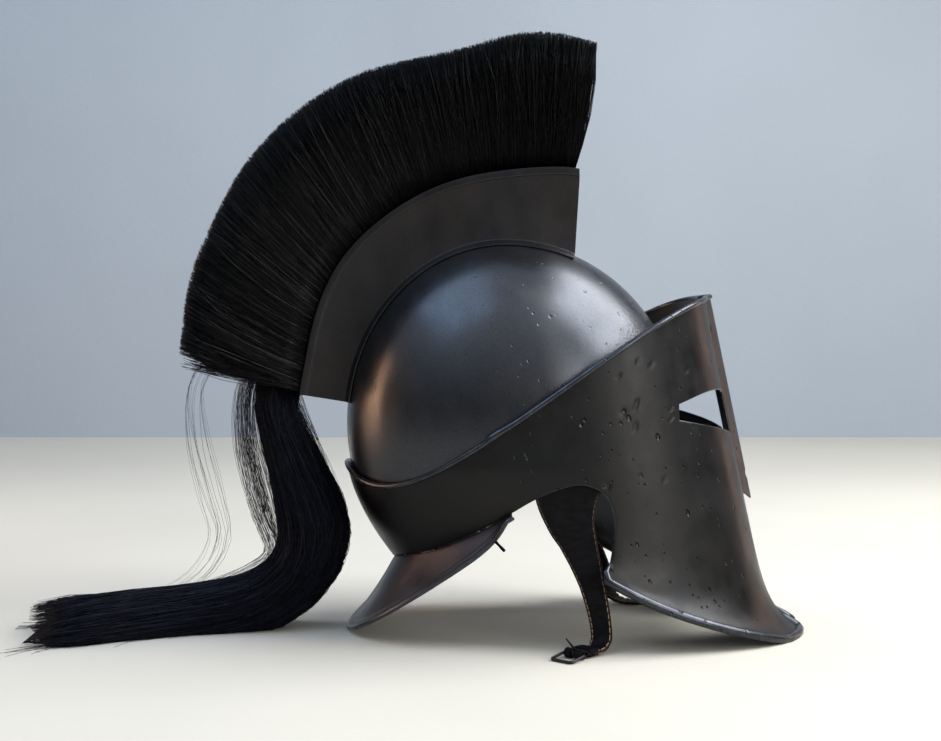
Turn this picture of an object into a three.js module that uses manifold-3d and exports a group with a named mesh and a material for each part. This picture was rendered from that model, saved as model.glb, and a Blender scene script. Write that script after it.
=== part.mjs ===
// A crested helmet of the ancient Greek kind, lying as it would on a floor: on the two cheek guards and the
// neck guard, with the horsehair tail and the chin straps laid on the floor. Millimetres, +Z up, +X is the
// face's side, +Y is the wearer's left.
import * as THREE from 'three';
import Module from 'manifold-3d';
import { mergeVertices } from 'three/addons/utils/BufferGeometryUtils.js';

const wasm = await Module();
wasm.setup();

// ---- driving dimensions ----
const GAP = 0.4; // between pieces that touch
const EDGE_GAP = 1.5; // between the skull's edge and the inside of the face plate
const SHEET = 1.6; // thickness of the beaten sheet
const HEAD = { x: 25.5, z: 153, up: 132.7, front: 129.2, rear: 116.2, side: 98.8 }; // the skull's mid surface
const PLATE = { side: 101.7, rear: 116.8, blunt: 2.4, keel: 6.5, keelHalf: 13 };
const BEAD = { rim: 1.7, bottom: 2.5, guard: 1.7, hem: 0.8 }; // radii of the rolled edges
const BROW_LINE = { x: 165.2, z: 297.5, lean: 0.213 }; // the leaning front line of the brow and the nasal
const WORN = 1.05; // how much of the cheek guards' rolled edge is worn flat where it stands
// How far the cheek guards' bottoms turn out.
const FLARE = { front: 19, rear: 8, height: 14.5, from: 0.3, to: 1 };
const FLARE_FADE = { from: 60, to: 80, nasal: 0.085 }; // plan angles: degrees, and the nasal's in radians
// How the band draws in below.
const TUCK = { depth: 35.2, top: 130, span: 76.4, power: 1.7, from: 50, to: 95 };
// The rise of the cheek guards' bottom edge.
const BOTTOM = { slope: 0.497, from: 15, power: 1.25, stand: 1.55 };
const RIM = {
  base: 136, slope: 0.736, settle: 15, settleX: 165, settleRun: 34, heel: 54.4, heelX: -91, heelRun: 32,
};
const CHEEK = { low: 13.5, high: 17, height: 145, ease: 1.35, middle: 0.54 }; // the cheek guards' front edges
const BAND = { cornerZ: 158, backZ: 92, ease: 0.8, columns: 15 }; // the line round the middle of the band
// The plane in which the skull's edge ends inside the face plate.
const TILT = { x0: -90, z0: 92, slope: 0.392 };
const NASAL_TIP = { middle: 96.5, side: 103 };
const SLOT = { rearX: 144.6, rearTop: 172, rearBottom: 160, frontTop: 176, frontBottom: 145.5, arch: 6 };
const CREST = { half: 17, wall: 1.5, floor: 1.8, hem: 0.8, hemWidth: 5, foot: 24, lift: 0.9, radius: 149 };
const FLANGE = { fillet: 2.2, out: 1.4, rise: 1.2, edge: 0.9, sunk: 0.3, inner: 7 }; // the crest box's foot
const TAIL_STEPS = 34;
const STRAP_THICK = 2;

// The lower edge of the band, from the middle of the back to the top rear corner of the cheek guard: [x, z]
const LOWER_EDGE = [[-57, 53.6], [-29, 67.7], [-10, 77], [12, 88.5], [28.5, 98.5], [43, 107.5], [60, 115],
  [76, 118.2], [88, 114.5], [94.5, 109]];
// The cheek guard's rear edge, from that corner down to the rolled bottom edge: [x, z]
const CHEEK_REAR = [[94.5, 109], [98.6, 99], [99.8, 86], [98, 72], [95.4, 56.5]];

const radians = THREE.MathUtils.degToRad;
const { clamp, lerp, smoothstep } = THREE.MathUtils;
const V = (x, y, z) => new THREE.Vector3(x, y, z);

// ---- plain helpers ----

// A smooth open curve through [x, z] or [x, y, z] points, read by arc length from 0 to 1.
function curveThrough(points) {
  const vectors = points.map(([x, y, z = 0]) => V(x, y, z));
  const curve = new THREE.CatmullRomCurve3(vectors, false, 'centripetal');
  curve.arcLengthDivisions = 400;
  return (t) => {
    const p = curve.getPointAt(clamp(t, 0, 1));
    return [p.x, p.y, p.z];
  };
}

// Linear interpolation in a short table of [key, value] rows.
function table(rows, key) {
  if (key <= rows[0][0]) return rows[0][1];
  for (let i = 1; i < rows.length; i += 1) {
    const [k0, v0] = rows[i - 1];
    const [k1, v1] = rows[i];
    if (key <= k1) return lerp(v0, v1, (key - k0) / (k1 - k0));
  }
  return rows[rows.length - 1][1];
}

// Smooth interpolation in the same kind of table.
function smoothTable(rows, key) {
  const step = 3.5;
  const samples = [-1, -0.5, 0, 0.5, 1];
  return samples.reduce((sum, s) => sum + table(rows, key + s * step), 0) / samples.length;
}

// A closed body from its corners and triangles, turned so that its faces point outwards.
function solid(positions, triangles) {
  const corner = (i) => V(...positions.slice(3 * i, 3 * i + 3));
  let volume = 0;
  for (let i = 0; i < triangles.length; i += 3) {
    const [a, b, c] = triangles.slice(i, i + 3).map(corner);
    volume += a.dot(b.cross(c));
  }
  const geometry = new THREE.BufferGeometry();
  geometry.setAttribute('position', new THREE.Float32BufferAttribute(positions, 3));
  geometry.setIndex(volume > 0 ? triangles : triangles.reverse());
  return mergeVertices(geometry, 1e-4);
}

// A closed plate from quads of mid-surface points. Each quad is four keys of the map, counter-clockwise seen
// from outside. Every free edge is rounded with an arc of the radius that bead(key, point) gives.
function plate(points, quads, thickness, bead, arcSteps = 4) {
  const half = thickness / 2;
  const normals = new Map([...points.keys()].map((key) => [key, V(0, 0, 0)]));
  const triangles = [];
  for (const [a, b, c, d] of quads) {
    const diagonal1 = points.get(c).clone().sub(points.get(a));
    const diagonal2 = points.get(d).clone().sub(points.get(b));
    const normal = diagonal1.cross(diagonal2);
    for (const key of new Set([a, b, c, d])) normals.get(key).add(normal);
    if (a !== b && b !== c && a !== c) triangles.push([a, b, c]);
    if (a !== c && c !== d && a !== d) triangles.push([a, c, d]);
  }
  const used = new Set(triangles.flat());
  const positions = [];
  const index = new Map();
  const add = (name, p) => {
    index.set(name, positions.length / 3);
    positions.push(p.x, p.y, p.z);
  };
  for (const key of used) {
    const n = normals.get(key).normalize();
    add(`${key}:0`, points.get(key).clone().addScaledVector(n, half));
    add(`${key}:${arcSteps}`, points.get(key).clone().addScaledVector(n, -half));
  }
  const directed = new Set(triangles.flatMap(([a, b, c]) => [`${a}|${b}`, `${b}|${c}`, `${c}|${a}`]));
  const free = [...directed].map((e) => e.split('|')).filter(([a, b]) => !directed.has(`${b}|${a}`));
  const outward = new Map();
  for (const [a, b] of free) {
    const along = points.get(b).clone().sub(points.get(a)).normalize();
    for (const key of [a, b]) {
      const out = along.clone().cross(normals.get(key)).normalize();
      outward.set(key, (outward.get(key) ?? V(0, 0, 0)).add(out));
    }
  }
  for (const [key, out] of outward) {
    out.normalize();
    const n = normals.get(key);
    const radius = Math.max(half, bead(key, points.get(key)));
    const reach = Math.sqrt(radius * radius - half * half);
    const middle = points.get(key).clone().addScaledVector(out, reach);
    const start = Math.PI - Math.asin(Math.min(1, half / radius));
    for (let k = 1; k < arcSteps; k += 1) {
      const angle = lerp(start, -start, k / arcSteps);
      const p = middle.clone().addScaledVector(out, Math.cos(angle) * radius);
      add(`${key}:${k}`, p.addScaledVector(n, Math.sin(angle) * radius));
    }
  }
  const faces = [];
  const at = (key, k) => index.get(`${key}:${k}`);
  for (const [a, b, c] of triangles) {
    faces.push(at(a, 0), at(b, 0), at(c, 0));
    faces.push(at(c, arcSteps), at(b, arcSteps), at(a, arcSteps));
  }
  for (const [a, b] of free) {
    for (let k = 0; k < arcSteps; k += 1) {
      faces.push(at(b, k), at(a, k), at(a, k + 1));
      faces.push(at(b, k), at(a, k + 1), at(b, k + 1));
    }
  }
  return solid(positions, faces);
}

// A closed tube of rings that all have the same number of points, with flat ends.
function loft(rings, closed = false) {
  const count = rings[0].length;
  const positions = rings.flat().flatMap((p) => [p.x, p.y, p.z]);
  const faces = [];
  const spans = closed ? rings.length : rings.length - 1;
  for (let i = 0; i < spans; i += 1) {
    const next = ((i + 1) % rings.length) * count;
    for (let j = 0; j < count; j += 1) {
      const k = (j + 1) % count;
      faces.push(i * count + j, i * count + k, next + k, i * count + j, next + k, next + j);
    }
  }
  if (!closed) {
    const outline = (ring) => {
      const u = ring[1].clone().sub(ring[0]).normalize();
      const area = V(0, 0, 0);
      ring.forEach((p, i) => area.add(p.clone().cross(ring[(i + 1) % count])));
      const v = area.normalize().cross(u);
      return ring.map((p) => new THREE.Vector2(p.dot(u), p.dot(v)));
    };
    const last = (rings.length - 1) * count;
    for (const [a, b, c] of THREE.ShapeUtils.triangulateShape(outline(rings[0]), [])) faces.push(c, b, a);
    for (const [a, b, c] of THREE.ShapeUtils.triangulateShape(outline(rings[rings.length - 1]), [])) {
      faces.push(last + a, last + b, last + c);
    }
  }
  return solid(positions, faces);
}

// A grid of quads over four boundary curves in a flat domain, shared with its neighbours by rounded keys.
function patch(points, quads, place, sides, columns, rows) {
  const [south, north, west, east] = sides;
  const node = (i, j) => {
    const s = i / columns;
    const t = j / rows;
    const mix = [0, 1].map((c) => lerp(south(s)[c], north(s)[c], t) + lerp(west(t)[c], east(t)[c], s)
      - lerp(lerp(south(0)[c], south(1)[c], s), lerp(north(0)[c], north(1)[c], s), t));
    const [phi, z] = mix.map((value) => Math.round(value * 1e5) / 1e5 || 0);
    return [phi, z];
  };
  const keyOf = (sign, [phi, z]) => {
    const side = phi < 1e-4 || phi > Math.PI - 1e-4 ? 0 : sign;
    const key = `${side},${phi},${z}`;
    if (!points.has(key)) points.set(key, place(sign * phi, z));
    return key;
  };
  for (let i = 0; i < columns; i += 1) {
    for (let j = 0; j < rows; j += 1) {
      const corners = [node(i, j), node(i + 1, j), node(i + 1, j + 1), node(i, j + 1)];
      quads.push(corners.map((corner) => keyOf(1, corner)));
      quads.push(corners.map((corner) => keyOf(-1, corner)).reverse());
    }
  }
}

const straight = (from, to) => (t) => [lerp(from[0], to[0], t), lerp(from[1], to[1], t)];

function mesh(name, geometry, color, roughness, metalness) {
  const result = new THREE.Mesh(geometry, new THREE.MeshStandardMaterial({ color, roughness, metalness }));
  result.name = name;
  return result;
}

// ---- the face plate's surface, by plan angle from the front and height ----

const frontLine = (z) => BROW_LINE.x + BROW_LINE.lean * (BROW_LINE.z - z) - HEAD.x;
const keelDepth = (z) => PLATE.keel * lerp(0.45, 1, smoothstep(BROW_LINE.z - z, 0, 90));
const bottomRise = (angle) => (
  BOTTOM.slope * Math.max(0, THREE.MathUtils.radToDeg(angle) - BOTTOM.from) ** BOTTOM.power);
const bottomEdge = (angle) => bottomRise(angle) + BOTTOM.stand * BEAD.bottom - WORN;

function planRadius(angle, z) {
  const front = angle < Math.PI / 2;
  const below = Math.max(0, (TUCK.top - z) / TUCK.span) ** TUCK.power;
  const tuck = TUCK.depth * below * smoothstep(angle, radians(TUCK.from), radians(TUCK.to));
  const reach = front ? frontLine(z) - keelDepth(z) : PLATE.rear;
  const power = front ? PLATE.blunt : 2;
  const terms = (Math.abs(Math.cos(angle)) / reach) ** power + (Math.sin(angle) / PLATE.side) ** power;
  return terms ** (-1 / power) - tuck;
}

function facePoint(phi, z) {
  const angle = Math.abs(phi);
  const base = planRadius(angle, z);
  const across = Math.min(1, Math.abs(base * Math.sin(angle)) / PLATE.keelHalf);
  const keel = angle < 1 ? keelDepth(z) * (1 - across) : 0;
  const turnOut = lerp(FLARE.front, FLARE.rear, smoothstep(angle, FLARE.from, FLARE.to));
  const below = Math.max(0, z - bottomEdge(angle)) / FLARE.height;
  const fade = 1 - smoothstep(angle, radians(FLARE_FADE.from), radians(FLARE_FADE.to));
  const nasalOnly = z > NASAL_TIP.side && angle < FLARE_FADE.nasal ? 0 : 1;
  const radius = base + keel + turnOut * Math.exp(-below) * fade * nasalOnly;
  return V(HEAD.x + radius * Math.cos(phi), radius * Math.sin(phi), z);
}

// The plan angle at which the surface has the given x, at that height.
function angleAt(x, z) {
  let low = 0;
  let high = Math.PI;
  for (let i = 0; i < 40; i += 1) {
    const middle = (low + high) / 2;
    if (facePoint(middle, z).x > x) low = middle;
    else high = middle;
  }
  return (low + high) / 2;
}

const rimHeight = (x) => RIM.base + RIM.slope * (x - 2) + RIM.settle * -Math.exp((x - RIM.settleX) / RIM.settleRun)
  + RIM.heel * Math.exp((RIM.heelX - x) / RIM.heelRun);

// The height of the upper rim at a plan angle.
function rimAt(angle) {
  let low = 100;
  let high = 310;
  for (let i = 0; i < 40; i += 1) {
    const z = (low + high) / 2;
    if (rimHeight(facePoint(angle, z).x) > z) low = z;
    else high = z;
  }
  return (low + high) / 2;
}

const toAngles = ([x, z]) => [angleAt(x, z), z];
const nasalHalfAngle = (z) => Math.asin(PLATE.keelHalf / planRadius(0.07, z));
const cheekFrontHalf = (z) => lerp(CHEEK.low, CHEEK.high, clamp(z / CHEEK.height, 0, 1));
const cheekFrontAngle = (z) => Math.asin(cheekFrontHalf(z) / planRadius(0.07, z));

function lowerEdgeCurve() {
  const points = LOWER_EDGE.map(toAngles);
  points[0][0] = Math.PI;
  return curveThrough(points.map(([angle, z]) => [angle * 100, z]));
}

const lowerEdge = lowerEdgeCurve();
const lowerEdgeAt = (t) => {
  const [angle, z] = lowerEdge(t);
  return [Math.min(Math.PI, angle / 100), z];
};

function facePlate() {
  const points = new Map();
  const quads = [];
  const add = (sides, columns, rows) => patch(points, quads, facePoint, sides, columns, rows);
  const corner = toAngles(LOWER_EDGE[LOWER_EDGE.length - 1]);
  const cornerMiddle = [corner[0], BAND.cornerZ];
  const backMiddle = [Math.PI, BAND.backZ];
  const slotRearTop = toAngles([SLOT.rearX, SLOT.rearTop]);
  const slotRearBottom = toAngles([SLOT.rearX, SLOT.rearBottom]);
  const nasalTop = [nasalHalfAngle(SLOT.frontTop), SLOT.frontTop];
  const middleTop = [0, SLOT.frontTop - 0.5];
  const browRim = slotRearTop[0];
  // the arched upper edge of the eye opening
  const lid = (t) => {
    const [angle, z] = straight(nasalTop, slotRearTop)(t);
    return [angle, z + SLOT.arch * Math.sin(Math.PI * t)];
  };
  const rim = (a, b) => (t) => [lerp(a, b, t), rimAt(lerp(a, b, t))];
  const up = (from) => straight(from, [from[0], rimAt(from[0])]);
  // the brow above the nasal and above the eye slot
  add([straight(middleTop, nasalTop), rim(0, nasalTop[0]), up(middleTop), up(nasalTop)], 1, 5);
  add([lid, rim(nasalTop[0], browRim), up(nasalTop), up(slotRearTop)], 5, 5);
  // the nasal
  const tipSide = [nasalHalfAngle(NASAL_TIP.side), NASAL_TIP.side];
  const tip = [0, NASAL_TIP.middle];
  const nasalSide = (t) => {
    const z = lerp(NASAL_TIP.side, SLOT.frontTop, t);
    return [nasalHalfAngle(z), z];
  };
  add([straight(tip, tipSide), straight(middleTop, nasalTop), straight(tip, middleTop), nasalSide], 1, 5);
  // the temple, above, beside and below the rear edge of the eye slot
  const templeTop = straight(slotRearTop, cornerMiddle);
  add([templeTop, rim(browRim, corner[0]), up(slotRearTop), up(cornerMiddle)], 4, 5);
  add([straight(slotRearBottom, corner), straight(slotRearTop, cornerMiddle),
    straight(slotRearBottom, slotRearTop), straight(corner, cornerMiddle)], 4, 3);
  const cheekRear = curveThrough(CHEEK_REAR.map(toAngles).map(([angle, z]) => [angle * 100, z]).reverse());
  const cheekRearAt = (t) => {
    const angle = cheekRear(t)[0] / 100;
    return [angle, t === 0 ? bottomEdge(angle) : cheekRear(t)[1]];
  };
  const rearBottom = cheekRearAt(0)[0];
  const middleBottom = CHEEK.middle;
  const bottom = (a, b) => (t) => [lerp(a, b, t), bottomEdge(lerp(a, b, t))];
  const middleDown = straight([middleBottom, bottomEdge(middleBottom)], slotRearBottom);
  add([bottom(middleBottom, rearBottom), straight(slotRearBottom, corner), middleDown, cheekRearAt], 4, 7);
  // the cheek guard in front, below the eye slot
  const frontTop = [cheekFrontAngle(SLOT.frontBottom), SLOT.frontBottom];
  const frontEdge = (t) => {
    const z = lerp(bottomEdge(0), SLOT.frontBottom, t ** CHEEK.ease);
    return [cheekFrontAngle(z), z];
  };
  const cheekTop = straight(frontTop, slotRearBottom);
  add([bottom(frontEdge(0)[0], middleBottom), cheekTop, frontEdge, middleDown], 6, 7);
  // the band round the back
  const backRim = (t) => [lerp(corner[0], Math.PI, t), rimAt(lerp(corner[0], Math.PI, t))];
  const middleLine = (t) => {
    const height = lerp(cornerMiddle[1], backMiddle[1], t ** BAND.ease);
    return [lerp(corner[0], Math.PI, t), height];
  };
  const edgeFromCorner = (t) => lowerEdgeAt(1 - t);
  add([middleLine, backRim, up(cornerMiddle), up(backMiddle)], BAND.columns, 5);
  add([edgeFromCorner, middleLine, straight(corner, cornerMiddle),
    straight([Math.PI, lowerEdgeAt(0)[1]], backMiddle)], BAND.columns, 3);

  const bead = (key, p) => {
    if (Math.abs(p.z - rimHeight(p.x)) < 1.5) return BEAD.rim;
    const angle = Math.abs(Math.atan2(p.y, p.x - HEAD.x));
    if (angle < 1.1 && p.z < bottomEdge(angle) + 1) return BEAD.bottom;
    return BEAD.hem;
  };
  const geometry = plate(points, quads, SHEET, bead);
  const corners = geometry.attributes.position;
  for (let i = 0; i < corners.count; i += 1) corners.setZ(i, Math.max(0, corners.getZ(i)));
  return geometry;
}

// ---- the skull ----

function skullRadius(angle, z) {
  const reach = Math.cos(angle) > 0 ? HEAD.front : HEAD.rear;
  const plan = ((Math.cos(angle) / reach) ** 2 + (Math.sin(angle) / HEAD.side) ** 2) ** -0.5;
  return plan * Math.sqrt(Math.max(0, 1 - ((z - HEAD.z) / HEAD.up) ** 2));
}

// The height at which the skull ends, inside the face plate.
function skullEdge(angle) {
  let z = 120;
  for (let i = 0; i < 25; i += 1) {
    z = TILT.z0 + TILT.slope * (HEAD.x + planRadius(angle, z) * Math.cos(angle) - TILT.x0);
  }
  return z;
}

function skull() {
  const columns = 42;
  const rows = 12;
  const points = new Map();
  const quads = [];
  const place = (i, j) => {
    const column = ((i % columns) + columns) % columns;
    const key = j === 0 ? 'top' : `${column},${j}`;
    if (!points.has(key)) {
      const phi = (column / columns) * 2 * Math.PI;
      const angle = Math.min(phi, 2 * Math.PI - phi);
      const edge = skullEdge(angle);
      const lowest = Math.acos((edge - HEAD.z) / HEAD.up);
      const z = HEAD.z + HEAD.up * Math.cos(lowest * (j / rows) ** 0.9);
      const sweep = clamp((edge + 30 - z) / 30, 0, 1) ** 2;
      const wall = planRadius(angle, z) - SHEET - EDGE_GAP;
      const radius = lerp(skullRadius(angle, z), Math.max(wall, skullRadius(angle, z)), sweep);
      points.set(key, V(HEAD.x + radius * Math.cos(phi), radius * Math.sin(phi), z));
    }
    return key;
  };
  for (let i = 0; i < columns; i += 1) {
    for (let j = 0; j < rows; j += 1) {
      quads.push([place(i, j + 1), place(i + 1, j + 1), place(i + 1, j), place(i, j)]);
    }
  }
  return plate(points, quads, SHEET, () => SHEET / 2, 2);
}

// ---- the neck guard ----

const GUARD = { tipX: -89, half: 96.5, blunt: 2.2, lap: 5, inside: 3.1, endAngle: radians(88.5) };
const guardRimHeight = (x) => Math.max(0, 0.7 * (x - GUARD.tipX)) + 17.4 * Math.exp((x - 29) / 8);

function guardPoint(angle, t) {
  // the seam: where the band's lower edge is at this angle
  let low = 0;
  let high = 1;
  for (let i = 0; i < 30; i += 1) {
    const middle = (low + high) / 2;
    if (lowerEdgeAt(middle)[0] > angle) low = middle;
    else high = middle;
  }
  const seamZ = lowerEdgeAt((low + high) / 2)[1];
  if (t < 0) {
    const z = seamZ - t * GUARD.lap;
    return V(planRadius(angle, z) - GUARD.inside, 0, z);
  }
  const plan = ((Math.abs(Math.cos(angle)) / (HEAD.x - GUARD.tipX)) ** GUARD.blunt
    + (Math.sin(angle) / GUARD.half) ** GUARD.blunt) ** (-1 / GUARD.blunt);
  const rimZ = Math.min(seamZ - 4, guardRimHeight(HEAD.x + plan * Math.cos(angle)) + 1.5 * BEAD.guard);
  const seam = planRadius(angle, seamZ) - GUARD.inside;
  const outward = Math.max(plan, seam) - seam;
  const bulge = 3 * Math.sin(Math.PI * t) * clamp((seamZ - rimZ) / 50, 0, 1);
  return V(seam + outward * t, 0, lerp(seamZ - 0.5, rimZ, t) - bulge);
}

function neckGuard() {
  const columns = 30;
  const rows = [-1, 0, 0.25, 0.5, 0.75, 1];
  const points = new Map();
  const quads = [];
  const place = (i, j) => {
    const key = `${i},${j}`;
    if (!points.has(key)) {
      const phi = lerp(GUARD.endAngle, 2 * Math.PI - GUARD.endAngle, i / columns);
      const p = guardPoint(Math.min(phi, 2 * Math.PI - phi), rows[j]);
      points.set(key, V(HEAD.x + p.x * Math.cos(phi), p.x * Math.sin(phi), p.z));
    }
    return key;
  };
  for (let i = 0; i < columns; i += 1) {
    for (let j = 0; j + 1 < rows.length; j += 1) {
      quads.push([place(i, j + 1), place(i + 1, j + 1), place(i + 1, j), place(i, j)]);
    }
  }
  const bead = (key) => (key.endsWith(`,${rows.length - 1}`) ? BEAD.guard : SHEET / 2);
  return plate(points, quads, SHEET, bead);
}

// ---- the crest ----

// Angles are in degrees from straight up, positive towards the back, about the skull's middle.
const BOX_OUTER = [[-16.1, 194], [-8, 188.5], [0, 184.3], [16, 180], [29, 175.2], [44, 170], [52, 165.2],
  [63, 158], [72, 153], [82, 152]];
const BOX_ANGLES = { outer: [-16.1, 82], inner: [-22.3, 82.3] };
const BRUSH_TIPS = [[-13, 283.5], [-9, 287], [-4, 286], [1, 281.5], [5, 275], [12, 273], [23, 276.7],
  [35, 274], [46, 268], [55, 259.5], [66, 253.5], [76, 244]];
const BRUSH_ANGLES = { base: [-15.3, 81.2], tip: [-13.1, 76.1], locks: 30, depth: 5 };

const crestPoint = (degrees, radius, y) => V(
  HEAD.x - radius * Math.sin(radians(degrees)), y, HEAD.z + radius * Math.cos(radians(degrees)));

// The skull's outer surface in the crest's plane shifted to y, at an angle from straight up.
function crownRadius(degrees, y) {
  const reach = degrees < 0 ? HEAD.front : HEAD.rear;
  const [across, up] = [Math.sin(radians(degrees)) / reach, Math.cos(radians(degrees)) / HEAD.up];
  const plane = (across ** 2 + up ** 2) ** -0.5;
  return plane * Math.sqrt(1 - (y / HEAD.side) ** 2) + SHEET / 2;
}

function crestBox() {
  const steps = 24;
  const ring = (t, filled) => {
    const outer = lerp(BOX_ANGLES.outer[0], BOX_ANGLES.outer[1], t);
    const inner = lerp(BOX_ANGLES.inner[0], BOX_ANGLES.inner[1], t);
    const top = smoothTable(BOX_OUTER, outer);
    const at = (y, radius) => {
      const share = clamp((radius - crownRadius(inner, 0)) / (top - crownRadius(inner, 0)), 0, 1);
      return crestPoint(lerp(inner, outer, share), radius, y);
    };
    const under = (y) => crownRadius(inner, y) + CREST.lift;
    const inside = CREST.half - CREST.wall;
    const floor = filled ? top - 1 : under(0) + CREST.floor;
    const hem = top - CREST.hemWidth;
    const wide = CREST.half + CREST.hem;
    const side = [[inside, floor], [inside, top], [wide, top], [wide, hem], [CREST.half, hem - CREST.hem],
      [CREST.half, under(CREST.half) + FLANGE.fillet],
      [CREST.half + FLANGE.out, under(CREST.half) + FLANGE.rise],
      [CREST.foot, under(CREST.foot) + FLANGE.edge], [CREST.foot, under(CREST.foot) - FLANGE.sunk],
      [CREST.half - 1, under(CREST.half - 1) - FLANGE.sunk],
      [FLANGE.inner, under(FLANGE.inner) - FLANGE.sunk]];
    const left = side.map(([y, r]) => at(y, r));
    const right = side.map(([y, r]) => at(-y, r)).reverse();
    return [...left, ...right];
  };
  const wall = CREST.wall / (CREST.radius * radians(BOX_ANGLES.outer[1] - BOX_ANGLES.outer[0]));
  const rings = [ring(0, true), ring(wall, true)];
  const [from, to] = [wall + 0.0005, 1 - wall - 0.0005];
  for (let i = 0; i <= steps; i += 1) rings.push(ring(lerp(from, to, i / steps), false));
  rings.push(ring(1 - wall, true), ring(1, true));
  return loft(rings);
}

function crestBrush() {
  const { base, tip, locks, depth } = BRUSH_ANGLES;
  const rings = [];
  for (let i = 0; i <= 2 * locks; i += 1) {
    const t = i / (2 * locks);
    const valley = i % 2 === 0;
    const lock = Math.floor(i / 2);
    const ragged = depth * (0.5 + 0.5 * Math.sin(lock * 2.4));
    const baseAngle = lerp(base[0], base[1], t);
    const tipAngle = lerp(tip[0], tip[1], t);
    const reach = smoothTable(BRUSH_TIPS, tipAngle) - (valley ? depth : ragged * 0.4);
    const boxTop = smoothTable(BOX_OUTER, baseAngle);
    const root = crownRadius(baseAngle, 0) + CREST.lift + CREST.floor + 1.2;
    const foot = CREST.half - CREST.wall - GAP;
    const pinch = valley ? 0.86 : 1;
    const at = (radius, y) => {
      const share = clamp((radius - boxTop) / (reach - boxTop), 0, 1);
      return crestPoint(lerp(baseAngle, tipAngle, share), radius, y);
    };
    const side = [[root, foot], [boxTop + 1, foot], [lerp(boxTop, reach, 0.35), 19.5 * pinch],
      [lerp(boxTop, reach, 0.72), 24 * pinch], [reach - 4, 25.5 * pinch], [reach, 18 * pinch]];
    rings.push([...side.map(([r, y]) => at(r, y)), ...side.map(([r, y]) => at(r, -y)).reverse()]);
  }
  return loft(rings.reverse());
}

// The tail: from the rear end of the crest down behind the helmet and along the floor. Each row is
// x, y, z, half width across the path in its own plane, half width sideways.
const TAIL = [
  [-140.2, 0, 180.8, 14, 15], [-145.5, 0, 165, 18, 19], [-141, 0, 148, 21, 21], [-133, 0, 128, 25, 23],
  [-126, 0, 108, 26, 24], [-119, 0, 88, 24, 25], [-116, -1, 70, 23, 26], [-121, -2, 50, 23, 27],
  [-136, -3, 31, 23, 29], [-160, -4, 17, 22, 31], [-198, -6, 10, 22, 33], [-236, -14, 7, 22, 36],
  [-272, -25, 5.5, 21, 40], [-299, -36, 5, 19, 42], [-313, -42, 5, 14, 38],
];

function plumeTail() {
  const path = curveThrough(TAIL.map(([x, y, z]) => [x, y, z]));
  const sizes = curveThrough(TAIL.map((row) => [row[3], row[4]]));
  const sides = 16;
  const rings = [];
  for (let i = 0; i <= TAIL_STEPS; i += 1) {
    const t = i / TAIL_STEPS;
    const middle = V(...path(t));
    const along = V(...path(Math.min(1, t + 0.01))).sub(V(...path(Math.max(0, t - 0.01)))).normalize();
    const across = V(0, 1, 0).addScaledVector(along, -along.y).normalize();
    const up = across.clone().cross(along);
    const row = t * (TAIL.length - 1);
    const index = Math.min(TAIL.length - 2, Math.floor(row));
    const [deep, wide] = [3, 4].map((c) => lerp(TAIL[index][c], TAIL[index + 1][c], row - index));
    const ring = [];
    for (let k = 0; k < sides; k += 1) {
      const angle = ((k + 0.18 * Math.sin(9 * t + k)) / sides) * 2 * Math.PI;
      const lock = 1 - (k % 2 === 0 ? 0 : 0.13) * smoothstep(t, 0, 0.2);
      const p = middle.clone().addScaledVector(across, Math.cos(angle) * wide * lock);
      p.addScaledVector(up, Math.sin(angle) * deep * lock);
      p.z = Math.max(p.z, 0);
      ring.push(p);
    }
    rings.push(ring);
  }
  return loft(rings);
}

// ---- the straps ----

// Each row is x, y, z of the strap's middle, then its width, then how its width runs in plan: [dx, dy].
const STRAP_RIGHT = [
  [68, -96.2, 134, 54, 1, 0.075], [67, -96, 120, 50, 1, 0.07], [66.5, -95, 107, 43, 1, 0.04],
  [69, -93.6, 92, 34, 1, 0], [74, -92.4, 78, 26.5, 1, -0.04], [79, -91.4, 64, 22, 1, -0.06],
  [84, -90.8, 48, 18, 1, -0.08], [88, -90.4, 32, 16, 1, -0.12], [90.3, -90.6, 19, 15, 1, -0.2],
  [90.6, -93, 9.5, 15, 0.95, -0.36], [87.4, -97.4, 4.6, 14.5, 0.85, -0.5], [82, -102, 3.4, 14, 0.74, -0.67],
  [75.6, -107.8, 3.6, 14, 0.74, -0.67],
];
const STRAP_LEFT = [
  [68, 96.2, 134, 54, 1, -0.075], [67, 96, 120, 50, 1, -0.07], [67, 95, 107, 43, 1, -0.04],
  [71, 93.6, 92, 34, 1, 0], [78, 92.4, 76, 26, 1, 0.05], [86, 91, 60, 21, 1, 0.06],
  [96, 90, 44, 18, 1, 0.08], [104, 89, 28, 16, 0.95, 0.3], [109.5, 88, 15, 15, 0.8, 0.6],
  [114, 87, 6, 15, 0.5, 0.85], [121, 86, 2.1, 15, 0.3, 0.95], [130, 84.5, 1.4, 14, 0.25, 0.97],
  [138, 83, 1.4, 9, 0.25, 0.97],
];

function strap(rows, steps) {
  const path = curveThrough(rows.map(([x, y, z]) => [x, y, z]));
  const rings = [];
  for (let i = 0; i <= steps; i += 1) {
    const t = i / steps;
    const middle = V(...path(t));
    const along = V(...path(Math.min(1, t + 0.01))).sub(V(...path(Math.max(0, t - 0.01)))).normalize();
    const row = nearestRow(rows, middle);
    const across = V(row[4], row[5], 0);
    across.addScaledVector(along, -along.dot(across)).normalize();
    const face = along.clone().cross(across);
    const half = row[3] / 2;
    const ring = [[-half, -1], [half, -1], [half, 1], [-half, 1]].map(([w, f]) => middle.clone()
      .addScaledVector(across, w).addScaledVector(face, (f * STRAP_THICK) / 2));
    ring.forEach((p) => { p.z = Math.max(p.z, 0.02); });
    rings.push(ring);
  }
  return loft(rings);
}

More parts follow.
